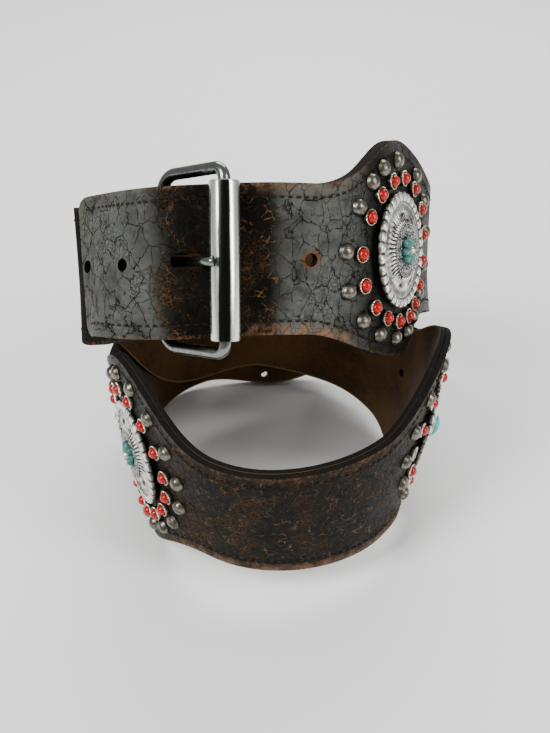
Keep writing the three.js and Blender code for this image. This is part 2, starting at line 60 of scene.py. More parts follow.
# The belt line: across and back as shares of the girth, up as a share of the strap's width, and
# the lean in degrees.
ROUTE = (
    (-0.047, -0.044, 2.41, 29.5),
    (-0.001, -0.048, 2.49, 27),
    (0.033, -0.035, 2.36, 21),
    (0.050, -0.015, 2.23, 15),
    (0.061, 0.005, 2.08, 14),
    (0.075, 0.040, 1.70, 4),
    (0.061, 0.072, 1.24, -6),
    (0.023, 0.083, 0.92, -17),
    (-0.014, 0.077, 0.66, -26),
    (-0.055, 0.059, 0.55, -14),
    (-0.075, 0.026, 0.53, -10),
    (-0.075, -0.009, 0.58, -10),
    (-0.059, -0.055, 0.80, 0),
    (-0.017, -0.093, 0.80, -3),
    (0.042, -0.078, 0.75, 0),
    (0.067, -0.035, 0.79, -9),
    (0.069, 0.005, 0.65, -12),
    (0.043, 0.044, 0.71, -9),
    (-0.009, 0.053, 0.95, -19),
    (-0.055, 0.041, 1.29, -25),
    (-0.087, 0.013, 1.77, -13),
    (-0.085, -0.013, 1.99, 16),
    (-0.071, -0.027, 2.18, 28),
)

# Radii of the rings of stones and of studs round a disc
STONE_RING = 31.0
STUD_RING = 38.5

# Each lost stud's panel and number, and how far its hole is off its even place, along and across
LOST_STUDS = (("b", 13, -2.1, -5.2), ("d", 0, 0.0, 0.0))

# Distance of each panel's disc from the heel bar, and how far it stands off the leather
PANELS = {
    "a": (119.5, 0.6),
    "b": (300.0, 0.3),
    "c": (475.0, 0.3),
    "d": (662.0, 0.8),
    "e": (838.0, 0.9),
}


class CentreStyle(Enum):
    """What sits in the middle of a disc."""

    CLUSTER = "turquoise petals round a silver bead"
    CABOCHON = "one smooth turquoise"


# --------------------------------------------------------------------------- shader building


class Shader:
    """A node material that is built up call by call."""

    def __init__(self, name: str) -> None:
        """Start an empty material.

        Args:
            name: The material's name.
        """
        self.material = bpy.data.materials.new(name)
        self.material.use_nodes = True
        self.tree = self.material.node_tree
        self.surface = self.tree.nodes["Principled BSDF"]

    def node(self, kind: str, inputs: dict | None = None, **settings: object) -> bpy.types.Node:
        """Add a node.

        Args:
            kind: The node's type name.
            inputs: Values or sockets, by the input's name or number.
            settings: The node's own properties.

        Returns:
            The new node.
        """
        made = self.tree.nodes.new(kind)
        for name, value in settings.items():
            setattr(made, name, value)
        for name, value in (inputs or {}).items():
            self.feed(made.inputs[name], value)
        return made

    def feed(self, socket: bpy.types.NodeSocket, value: object) -> None:
        """Link a socket to an input, or set the input's value."""
        if isinstance(value, bpy.types.NodeSocket):
            self.tree.links.new(value, socket)
        else:
            socket.default_value = value

    def set(self, **values: object) -> None:
        """Set inputs of the surface shader, with underscores for spaces."""
        for name, value in values.items():
            self.feed(self.surface.inputs[name.replace("_", " ")], value)

    def uv(self, layer: str) -> bpy.types.NodeSocket:
        """Coordinates of a UV map."""
        return self.node("ShaderNodeUVMap", uv_map=layer).outputs[0]

    def place(self) -> bpy.types.NodeSocket:
        """Coordinates of the object, in metres."""
        return self.node("ShaderNodeTexCoord").outputs["Object"]

    def split(self, vector: bpy.types.NodeSocket) -> tuple[bpy.types.NodeSocket, ...]:
        """The three components of a vector."""
        made = self.node("ShaderNodeSeparateXYZ", {0: vector})
        return tuple(made.outputs)

    def math(self, operation: str, *values: object) -> bpy.types.NodeSocket:
        """The result of a maths node."""
        return self.node(
            "ShaderNodeMath", dict(enumerate(values)), operation=operation
        ).outputs[0]

    def vector(self, operation: str, *values: object) -> bpy.types.NodeSocket:
        """The result of a vector maths node."""
        return self.node(
            "ShaderNodeVectorMath", dict(enumerate(values)), operation=operation
        ).outputs[0]

    def scaled(self, vector: object, factor: float) -> bpy.types.NodeSocket:
        """A vector times a number."""
        return self.node(
            "ShaderNodeVectorMath", {0: vector, "Scale": factor}, operation="SCALE"
        ).outputs[0]

    def noise(
        self, vector: object, scale: float, detail: float = 3.0, rough: float = 0.55
    ) -> bpy.types.NodeSocket:
        """Value of a noise texture."""
        return self.node(
            "ShaderNodeTexNoise",
            {"Vector": vector, "Scale": scale, "Detail": detail, "Roughness": rough},
        ).outputs[0]

    def warped(self, vector: object, scale: float, amount: float) -> bpy.types.NodeSocket:
        """A vector pushed about by noise.

        Args:
            vector: The coordinates to push.
            scale: The noise's scale.
            amount: The push in metres.

        Returns:
            The pushed coordinates.
        """
        push = self.node(
            "ShaderNodeTexNoise", {"Vector": vector, "Scale": scale, "Detail": 3.0}
        ).outputs[1]
        centred = self.vector("SUBTRACT", push, (0.5, 0.5, 0.5))
        return self.vector("ADD", vector, self.scaled(centred, 2 * amount))

    def cells(
        self, vector: object, scale: float, feature: str = "DISTANCE_TO_EDGE"
    ) -> bpy.types.NodeSocket:
        """Distance output of a cell texture."""
        return self.node(
            "ShaderNodeTexVoronoi", {"Vector": vector, "Scale": scale}, feature=feature
        ).outputs["Distance"]

    def span(
        self, value: object, low: float, high: float, to_low: float = 0.0, to_high: float = 1.0
    ) -> bpy.types.NodeSocket:
        """A value mapped smoothly from one range to another, held at its ends."""
        return self.node(
            "ShaderNodeMapRange",
            {0: value, 1: low, 2: high, 3: to_low, 4: to_high},
            interpolation_type="SMOOTHSTEP",
        ).outputs[0]

    def times(self, first: object, second: object) -> bpy.types.NodeSocket:
        """The product of two values."""
        return self.math("MULTIPLY", first, second)

    def plus(self, first: object, second: object) -> bpy.types.NodeSocket:
        """The sum of two values."""
        return self.math("ADD", first, second)

    def most(self, first: object, second: object) -> bpy.types.NodeSocket:
        """The larger of two values."""
        return self.math("MAXIMUM", first, second)

    def mix(
        self, share: object, first: object, second: object, blend: str = "MIX"
    ) -> bpy.types.NodeSocket:
        """A mix of two colours."""
        made = self.node("ShaderNodeMix", data_type="RGBA", blend_type=blend)
        self.feed(made.inputs[0], share)
        for number, colour in ((6, first), (7, second)):
            if not isinstance(colour, bpy.types.NodeSocket):
                colour = (*colour, 1.0)
            self.feed(made.inputs[number], colour)
        return made.outputs[2]

    def bump(self, height: object, depth: float, strength: float = 1.0) -> bpy.types.NodeSocket:
        """A bumped normal, with its depth in metres."""
        return self.node(
            "ShaderNodeBump", {"Height": height, "Distance": depth, "Strength": strength}
        ).outputs[0]


@dataclass(frozen=True)
class LeatherFinish:
    """Old black-brown leather with a worn grey film, partly painted sheen, with cracks and rubbed
    edges.

    Zones are places along the belt in metres: the grey film ends at the stretch round the buckle,
    which is painted dark as the shade where the strap bends under the roller and also shows wear,
    the front is rubbed down to tan, and the last stretch stayed black.
    """

    # Grey of the worn film, partly painted sheen.
    film_and_sheen: tuple = (0.094, 0.099, 0.087)
    dark: tuple = (0.0035, 0.0028, 0.0016)
    rust: tuple = (0.052, 0.022, 0.007)
    vein: tuple = (0.200, 0.098, 0.038)
    tan: tuple = (0.240, 0.125, 0.066)
    crack: tuple = (0.003, 0.002, 0.0015)
    frayed: tuple = (0.110, 0.042, 0.015)
    hole_place: float = 0.061
    # Stretch round the buckle, painted dark as the shade of the strap's bend, and also worn.
    buckle_shade_and_wear: tuple = (0.002, 0.048)
    # Darkest part of that painted shade.
    black: tuple = (0.010, 0.031)
    panel: float = 0.084
    front: tuple = (0.500, 0.665)
    unworn: float = 0.850

    def window(self, s: Shader, value: object, low: float, high: float, soft: float) -> object:
        """One between two values, zero outside, with soft ends."""
        return s.times(
            s.span(value, low - soft, low + soft), s.span(value, high + soft, high - soft)
        )

    def made(self) -> bpy.types.Material:
        """Build the material."""
        s = Shader("cracked_leather")
        strap = s.uv("strap")
        edge, _, _ = s.split(s.uv("edge"))
        rough_place = s.warped(strap, 45.0, 0.006)
        along, side, _ = s.split(rough_place)
        warp = s.warped(s.warped(strap, 150.0, 0.0020), 620.0, 0.0007)
        patches = s.noise(strap, 42.0, 4.0, 0.6)
        mottle = s.noise(strap, 190.0, 6.0, 0.7)
        fleck = s.noise(warp, 620.0, 4.0, 0.7)

        # Painted shade: round the buckle, where the strap bends down under the roller, the grey
        # film is left out, so the stretch is painted dark; wear veins and rust stay on it.
        buckle_shade_and_wear_mask = self.window(s, along, *self.buckle_shade_and_wear, 0.005)
        # Painted shade: the black window is the darkest part of that stretch, with few veins and
        # little rust.
        black = self.window(s, along, *self.black, 0.006)
        front = self.window(s, along, *self.front, 0.022)
        worn = s.most(buckle_shade_and_wear_mask, front)
        unworn_end = self.unworn + 0.03
        bare = s.most(worn, s.span(along, self.unworn, unworn_end))
        # The grey film is partly a worn finish and partly painted sheen: full from the tip to the
        # panel mark, a tenth of that beyond.
        film_and_sheen_share = s.math("SUBTRACT", 1.0, bare)
        film_and_sheen_share = s.times(film_and_sheen_share, s.span(along, self.panel + 0.012, self.panel - 0.012, 0.10, 1.0))

        cracked = s.vector("MULTIPLY", warp, (1.0, 0.55, 1.0))
        wide = s.span(s.cells(cracked, 190.0), 0.034, 0.004)
        fine = s.span(s.cells(s.vector("MULTIPLY", warp, (1.0, 0.8, 1.0)), 470.0), 0.060, 0.010)
        wide = s.times(wide, s.span(mottle, 0.36, 0.52))
        fine = s.times(fine, s.span(patches, 0.47, 0.60))
        lines = s.most(wide, s.times(fine, 0.6))
        grained = s.vector("MULTIPLY", warp, (0.75, 1.0, 1.0))
        net = s.span(s.cells(grained, 330.0), 0.055, 0.006)
        small_net = s.span(s.cells(grained, 760.0), 0.075, 0.010)
        veins = s.most(
            s.times(net, s.span(mottle, 0.48, 0.62)),
            s.times(small_net, s.times(s.span(patches, 0.50, 0.62), 0.45)),
        )

        patchy = s.span(patches, 0.30, 0.62, 0.30, 1.0)
        body = s.mix(s.times(film_and_sheen_share, patchy), self.dark, self.film_and_sheen)
        body = s.mix(s.span(mottle, 0.45, 0.70, 0.0, 0.5), body, self.dark)
        rusty = s.times(s.span(fleck, 0.50, 0.66), s.span(patches, 0.46, 0.62))
        rusty = s.times(rusty, s.span(worn, 0.0, 1.0, 0.12, 0.55))
        body = s.mix(s.times(rusty, s.span(black, 0.0, 1.0, 1.0, 0.22)), body, self.rust)
        on_film = s.mix(lines, body, self.crack)
        strength = s.times(veins, s.span(black, 0.0, 1.0, 0.85, 0.20))
        colour = s.mix(worn, on_film, s.mix(strength, body, self.vein))

        lower = s.span(side, -0.018, -0.026)
        right = self.window(s, along, 0.036, 0.082, 0.004)
        where = s.plus(
            s.times(right, s.span(lower, 0.0, 1.0, 0.28, 0.95)),
            s.times(front, s.span(lower, 0.0, 1.0, 0.10, 0.60)),
        )
        rub = s.times(s.span(edge, 0.0062, 0.0012), s.span(mottle, 0.38, 0.60))
        colour = s.mix(s.times(s.times(rub, where), 0.9), colour, self.tan)
        thin = s.times(s.span(edge, 0.0018, 0.0008), s.span(fleck, 0.48, 0.60))
        colour = s.mix(s.times(thin, 0.45), colour, self.vein)

        from_hole = s.node(
            "ShaderNodeVectorMath",
            {0: s.warped(strap, 330.0, 0.0022), 1: (self.hole_place, 0.0, 0.0)},
            operation="DISTANCE",
        ).outputs["Value"]
        fray = s.times(s.span(from_hole, 0.0046, 0.0027), s.span(mottle, 0.30, 0.50))
        colour = s.mix(fray, colour, self.frayed)

        grain = s.noise(strap, 1500.0, 3.0, 0.6)
        crease = s.noise(cracked, 330.0, 4.0, 0.6)
        height = s.plus(s.times(lines, -1.0), s.times(veins, -0.5))
        height = s.plus(height, s.times(grain, 0.16))
        height = s.plus(height, s.times(crease, 1.1))
        groove = self.window(s, edge, 0.0050, 0.0062, 0.0004)
        height = s.plus(height, s.times(groove, -0.7))
        rough = s.plus(s.span(patches, 0.3, 0.7, 0.34, 0.50), s.times(lines, 0.3))
        rough = s.plus(rough, s.span(along, self.unworn, unworn_end, 0.0, 0.5))
        s.set(
            Base_Color=colour, Roughness=rough, Specular_IOR_Level=0.08,
            Normal=s.bump(height, 0.00045),
        )
        return s.material


@dataclass(frozen=True)
class EdgePaintFinish:
    """Cut edge with old black paint, rubbed and fibrous."""

    paint: tuple = (0.006, 0.005, 0.0045)

    def made(self) -> bpy.types.Material:
        """Build the material."""
        s = Shader("edge_paint")
        place = s.place()
        fibres = s.noise(place, 1900.0, 4.0, 0.7)
        patches = s.noise(place, 240.0, 3.0, 0.6)
        worn = s.times(s.span(fibres, 0.60, 0.72), s.span(patches, 0.45, 0.62))
        s.set(
            Base_Color=s.mix(s.times(worn, 0.5), self.paint, (0.20, 0.16, 0.12)),
            Roughness=0.75, Specular_IOR_Level=0.08,
            Normal=s.bump(s.plus(fibres, patches), 0.0004),
        )
        return s.material


@dataclass(frozen=True)
class SuedeFinish:
    """Napped inner face of the lining."""

    light: tuple = (0.090, 0.043, 0.011)
    deep: tuple = (0.026, 0.011, 0.003)

    def made(self) -> bpy.types.Material:
        """Build the material."""
        s = Shader("suede")
        strap = s.uv("strap")
        cloud = s.noise(strap, 26.0, 5.0, 0.62)
        nap = s.noise(s.vector("MULTIPLY", strap, (1.0, 0.55, 1.0)), 900.0, 4.0, 0.7)
        colour = s.mix(s.span(cloud, 0.30, 0.70), self.deep, self.light)
        colour = s.mix(s.span(nap, 0.45, 0.75, 0.0, 0.4), colour, (0.13, 0.07, 0.022))
        edge, _, _ = s.split(s.uv("edge"))
        raw = s.span(edge, 0.0013, 0.0003)
        colour = s.mix(s.times(raw, 0.7), colour, (0.22, 0.14, 0.06))
        s.set(
            Base_Color=colour, Roughness=0.92, Specular_IOR_Level=0.2, Sheen_Weight=0.08,
            Sheen_Roughness=0.5, Normal=s.bump(nap, 0.0003),
        )
        return s.material


@dataclass(frozen=True)
class MetalFinish:
    """A metal with small scratches, darkened where an occlusion mask finds surfaces nearby: tarnish
    in its own hollows, and painted shade where other parts come close.
    """

    name: str
    bright: tuple
    # Colour of the tarnish and of the painted shade.
    tarnish_and_shade: tuple
    rough: float
    tarnish_from: float = 0.50
    dent_depth: float = 0.0
    scratch: float = 0.3

    def made(self) -> bpy.types.Material:
        """Build the material."""
        s = Shader(self.name)
        place = s.place()
        spots = s.noise(place, 420.0, 5.0, 0.65)
        # Painted shade and tarnish: the occlusion node darkens the metal near any surface, its own
        # hollows and other parts alike.
        hollow = s.node("ShaderNodeAmbientOcclusion", {"Distance": 0.0025}, samples=8).outputs["AO"]
        shade_and_tarnish_mask = s.times(s.span(hollow, 0.95, 0.45), 0.85)
        spotted = s.span(spots, self.tarnish_from, self.tarnish_from + 0.22, 0.0, 0.75)
        share = s.most(shade_and_tarnish_mask, spotted)
        lines = s.noise(s.vector("MULTIPLY", place, (1.0, 1.0, 0.08)), 2600.0, 2.0)
        rough = s.plus(s.times(share, 0.22), s.times(lines, 0.10))
        s.set(
            Base_Color=s.mix(share, self.bright, self.tarnish_and_shade), Metallic=1.0,
            Roughness=s.plus(rough, self.rough),
            Normal=s.bump(
                s.plus(s.times(lines, self.scratch * 0.12), s.noise(place, 700.0)),
                0.00004 + self.dent_depth,
            ),
        )
        return s.material


@dataclass(frozen=True)
class DiscFinish:
    """Antique silver with black in the pattern's hollows and painted shade on its side wall. Rings
    are radii in metres.
    """

    bright: tuple = (0.95, 0.94, 0.87)
    dull: tuple = (0.15, 0.147, 0.13)
    # Colour of the hollows, and of the painted shade on the side wall.
    black: tuple = (0.012, 0.011, 0.009)
    scallops: int = 32
    flutes: int = 52
    plaque: float = 0.0112

    def made(self) -> bpy.types.Material:
        """Build the material."""
        s = Shader("pressed_silver")
        x, y, _ = s.split(s.uv("local"))
        angle = s.math("ARCTAN2", y, x)
        radius = s.math("SQRT", s.plus(s.times(x, x), s.times(y, y)))
        place = s.place()
        spots = s.noise(place, 520.0, 6.0, 0.75)
        broad = s.noise(place, 130.0, 3.0)
        wobble = s.plus(angle, s.times(s.noise(place, 260.0), 0.05))

        def ring(low: float, high: float, soft: float = 0.0004) -> object:
            return s.times(
                s.span(radius, low - soft, low + soft), s.span(radius, high + soft, high - soft)
            )

        spokes = s.math("COSINE", s.times(wobble, float(self.flutes)))
        petals = s.math("ABSOLUTE", s.math("COSINE", s.times(angle, self.scallops / 2)))
        share = s.span(spots, 0.42, 0.68, 0.05, 0.75)
        dull = s.times(ring(0.0172, 0.0208, 0.0012), s.span(broad, 0.3, 0.6, 0.45, 1.0))
        share = s.most(share, dull)
        colour = s.mix(share, self.bright, self.dull)
        between = s.times(ring(0.0117, 0.0168, 0.0009), s.span(spokes, 0.25, -0.45))
        notch = s.times(ring(0.0210, 0.0260), s.span(petals, 0.55, 0.20))
        lines = s.most(ring(0.0207, 0.0213, 0.0002), ring(0.0112, 0.0118, 0.0002))
        dark = s.most(s.most(between, notch), s.times(lines, 0.8))
        dark = s.most(dark, s.span(radius, self.plaque + 0.0002, self.plaque - 0.0003, 0.0, 0.95))
        # Painted shade: the side wall and outer lip are painted near black, standing for the shadow
        # along the disc's edge.
        dark = s.most(dark, s.span(radius, 0.0249, 0.0255, 0.0, 0.9))
        dark = s.times(dark, s.span(spots, 0.25, 0.5, 0.7, 0.97))
        s.set(
            Base_Color=s.mix(dark, colour, self.black), Metallic=1.0,
            Roughness=s.plus(s.times(share, 0.15), s.span(dark, 0.0, 1.0, 0.24, 0.5)),
            Normal=s.bump(s.math("SUBTRACT", spots, s.times(dark, 0.6)), 0.00022),
        )
        return s.material


@dataclass(frozen=True)
class RollerFinish:
    """Satin steel with dark bands painted at set turns round the tube as painted reflection, and
    the bright colour everywhere else.
    """

    bright: tuple = (0.80, 0.84, 0.80)
    # Colour of the painted reflection bands.
    dull: tuple = (0.008, 0.008, 0.007)

    def made(self) -> bpy.types.Material:
        """Build the material."""
        s = Shader("roller_steel")
        x, y, _ = s.split(s.uv("local"))
        turn = s.math("ARCTAN2", y, x)
        place = s.place()
        lines = s.noise(s.vector("MULTIPLY", place, (1.0, 1.0, 0.06)), 2600.0, 2.0)
        uneven = s.plus(turn, s.times(s.noise(place, 60.0, 2.0), 0.16))
        # Painted reflection: dark bands at set turns round the roller, one of them weaker.
        painted_reflection_band = s.times(s.span(uneven, -1.22, -1.06), s.span(uneven, -0.22, -0.40))
        painted_reflection_band = s.most(painted_reflection_band, s.times(s.span(uneven, 0.40, 0.70), 0.65))
        s.set(
            Base_Color=s.mix(s.times(painted_reflection_band, 0.99), self.bright, self.dull), Metallic=1.0,
            Roughness=s.plus(s.times(lines, 0.14), 0.18),
            Normal=s.bump(lines, 0.000004),
        )
        return s.material


@dataclass(frozen=True)
class StoneFinish:
    """A polished opaque stone with veins or clouds."""

    name: str
    body: tuple
    cloud: tuple
    vein: tuple
    vein_share: float
    rough: float = 0.16

    def made(self) -> bpy.types.Material:
        """Build the material."""
        s = Shader(self.name)
        place = s.place()
        cloud = s.noise(place, 520.0, 3.0)
        veins = s.span(s.cells(s.warped(place, 700.0, 0.0006), 520.0), 0.07, 0.01)
        broken = s.times(veins, s.span(s.noise(place, 330.0), 0.45, 0.62))
        colour = s.mix(s.span(cloud, 0.40, 0.65), self.body, self.cloud)
        colour = s.mix(s.times(broken, self.vein_share), colour, self.vein)
        s.set(
            Base_Color=colour, Roughness=self.rough, Specular_IOR_Level=0.4, Coat_Weight=0.06,
            Coat_Roughness=0.08, Normal=s.bump(broken, 0.00006 * self.vein_share),
        )
        return s.material


@dataclass(frozen=True)
class ThreadFinish:
    """Waxed dark thread."""

    colour: tuple = (0.008, 0.005, 0.004)

    def made(self) -> bpy.types.Material:
        """Build the material."""
        s = Shader("waxed_thread")
        twist = s.noise(s.place(), 2400.0, 2.0)
        s.set(
            Base_Color=s.mix(s.span(twist, 0.4, 0.7, 0.0, 0.5), self.colour, (0.060, 0.028, 0.013)),
            Roughness=0.7, Specular_IOR_Level=0.1, Normal=s.bump(twist, 0.0001),
        )
        return s.material


class Palette:
    """The belt's materials, made once."""

    def __init__(self) -> None:
        """Build every material."""
        self.leather = LeatherFinish().made()
        self.edge = EdgePaintFinish().made()
        self.suede = SuedeFinish().made()
        self.thread = ThreadFinish().made()
        self.steel = MetalFinish(
            "satin_steel", (0.210, 0.225, 0.210), (0.045, 0.048, 0.045), 0.15, tarnish_from=0.50
        ).made()
        self.roller = RollerFinish().made()
        self.disc = DiscFinish().made()
        self.silver = MetalFinish(
            "antique_silver", (0.46, 0.45, 0.42), (0.040, 0.036, 0.032), 0.24, tarnish_from=0.52,
            dent_depth=0.00008,
        ).made()
        self.pewter = MetalFinish(
            "dark_pewter", (0.200, 0.185, 0.150), (0.026, 0.024, 0.019), 0.22, tarnish_from=0.42,
            dent_depth=0.00012,
        ).made()
        self.bezel = MetalFinish(
            "pale_silver", (0.80, 0.74, 0.60), (0.25, 0.19, 0.11), 0.28, tarnish_from=0.58
        ).made()
        self.coral = StoneFinish(
            "coral", (0.340, 0.0020, 0.0005), (0.430, 0.0060, 0.0015), (0.140, 0.0015, 0.0008), 0.25
        ).made()
        self.turquoise = StoneFinish(
            "turquoise", (0.026, 0.150, 0.125), (0.085, 0.290, 0.240), (0.035, 0.030, 0.012),
            0.9, 0.30,
        ).made()
        self.cabochon = StoneFinish(
            "blue_turquoise", (0.012, 0.300, 0.290), (0.030, 0.390, 0.370), (0.01, 0.08, 0.08), 0.3
        ).made()


# --------------------------------------------------------------------------- mesh building


def clear_selection() -> None:
    """Leave edit mode and select nothing."""
    if bpy.context.object and bpy.context.object.mode != "OBJECT":
        bpy.ops.object.mode_set(mode="OBJECT")
    bpy.ops.object.select_all(action="DESELECT")


def only(piece: bpy.types.Object) -> None:
    """Select one object and make it active."""
    clear_selection()
    piece.select_set(True)
    bpy.context.view_layer.objects.active = piece


def apply_modifier(piece: bpy.types.Object, kind: str, **settings: object) -> None:
    """Add a modifier to a piece and apply it.

    Args:
        piece: The piece.
        kind: The modifier's type.
        settings: The modifier's own properties.
    """
    only(piece)
    modifier = piece.modifiers.new(kind.lower(), kind)
    for name, value in settings.items():
        setattr(modifier, name, value)
    bpy.ops.object.modifier_apply(modifier=modifier.name)


def spun(name: str, profile: Sequence[tuple[float, float]], steps: int) -> bpy.types.Object:
    """Spin a profile round the Z axis.

    Args:
        name: The new object's name.
        profile: Radius and height of each point, in millimetres.
        steps: The number of steps round.

    Returns:
        A closed solid when the profile starts and ends on the axis.
    """
    clear_selection()
    mesh = bpy.data.meshes.new(name)
    points = [(radius * MM, 0.0, height * MM) for radius, height in profile]
    mesh.from_pydata(points, [(i, i + 1) for i in range(len(points) - 1)], [])
    piece = bpy.data.objects.new(name, mesh)
    bpy.context.collection.objects.link(piece)
    only(piece)
    bpy.ops.object.mode_set(mode="EDIT")
    bpy.ops.mesh.select_all(action="SELECT")
    bpy.ops.mesh.spin(steps=steps, angle=2 * math.pi, center=(0, 0, 0), axis=(0, 0, 1))
    bpy.ops.mesh.select_all(action="SELECT")
    bpy.ops.mesh.remove_doubles(threshold=1e-6)
    bpy.ops.mesh.normals_make_consistent(inside=False)
    bpy.ops.object.mode_set(mode="OBJECT")
    layer = piece.data.uv_layers.new(name="local")
    for loop, spot in zip(piece.data.loops, layer.uv):
        spot.vector = piece.data.vertices[loop.vertex_index].co.xy
    return piece


def reshape(piece: bpy.types.Object, change: Callable[[np.ndarray], np.ndarray]) -> None:
    """Move a piece's points.

    Args:
        piece: The piece.
        change: Takes the points in millimetres, one row each, and returns them moved.
    """
    mesh = piece.data
    points = np.empty(len(mesh.vertices) * 3)
    mesh.vertices.foreach_get("co", points)
    moved = change(points.reshape(-1, 3) / MM) * MM
    mesh.vertices.foreach_set("co", moved.ravel())
    mesh.update()


def smooth(piece: bpy.types.Object, degrees: float = 40.0) -> None:
    """Shade a piece smooth, apart from edges sharper than an angle."""
    only(piece)
    bpy.ops.object.shade_smooth_by_angle(angle=math.radians(degrees))


def joined(name: str, parts: Sequence[bpy.types.Object]) -> bpy.types.Object:
    """Join objects into one, named as given."""
    clear_selection()
    for part in parts:
        part.select_set(True)
    bpy.context.view_layer.objects.active = parts[0]
    if len(parts) > 1:
        bpy.ops.object.join()
    parts[0].name = name
    parts[0].data.name = name
    return parts[0]


def copied(name: str, pattern: bpy.types.Object, matrix: Matrix) -> bpy.types.Object:
    """Copy a pattern to its place, with its own mesh.

    Args:
        name: The copy's name.
        pattern: The object to copy.
        matrix: The place, which goes into the mesh.

    Returns:
        The copy.
    """
    mesh = pattern.data.copy()
    mesh.name = name
    mesh.transform(matrix)
    piece = bpy.data.objects.new(name, mesh)
    bpy.context.collection.objects.link(piece)
    return piece


def finished(piece: bpy.types.Object, slot: str, *nodes: str) -> bpy.types.Object:
    """Tie a piece to the belt's body and hide the nodes it stands for."""
    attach(piece, "root")
    if nodes:
        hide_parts(*nodes)
    log.info("%s: %d faces", piece.name, len(piece.data.polygons))
    return piece


def discard(piece: bpy.types.Object) -> None:
    """Delete a pattern and its mesh."""
    mesh = piece.data
    bpy.data.objects.remove(piece)
    bpy.data.meshes.remove(mesh)


# --------------------------------------------------------------------------- the belt's line


@dataclass
class Sections:
    """Sections of the strap, one row each, in millimetres."""

    place: np.ndarray
    centre: np.ndarray
    along: np.ndarray
    across: np.ndarray
    normal: np.ndarray
    half: np.ndarray

    def joined_to(self, other: "Sections") -> "Sections":
        """These sections followed by others."""
        pairs = ((getattr(self, name), getattr(other, name)) for name in self.__dataclass_fields__)
        return Sections(*(np.concatenate(pair) for pair in pairs))


def unit(vectors: np.ndarray) -> np.ndarray:
    """Vectors at length one."""
    return vectors / np.linalg.norm(vectors, axis=-1, keepdims=True)


def ease(value: np.ndarray, low: float, high: float) -> np.ndarray:
    """Smooth step from 0 to 1 over a range."""
    share = np.clip((value - low) / (high - low), 0.0, 1.0)
    return share * share * (3.0 - 2.0 * share)


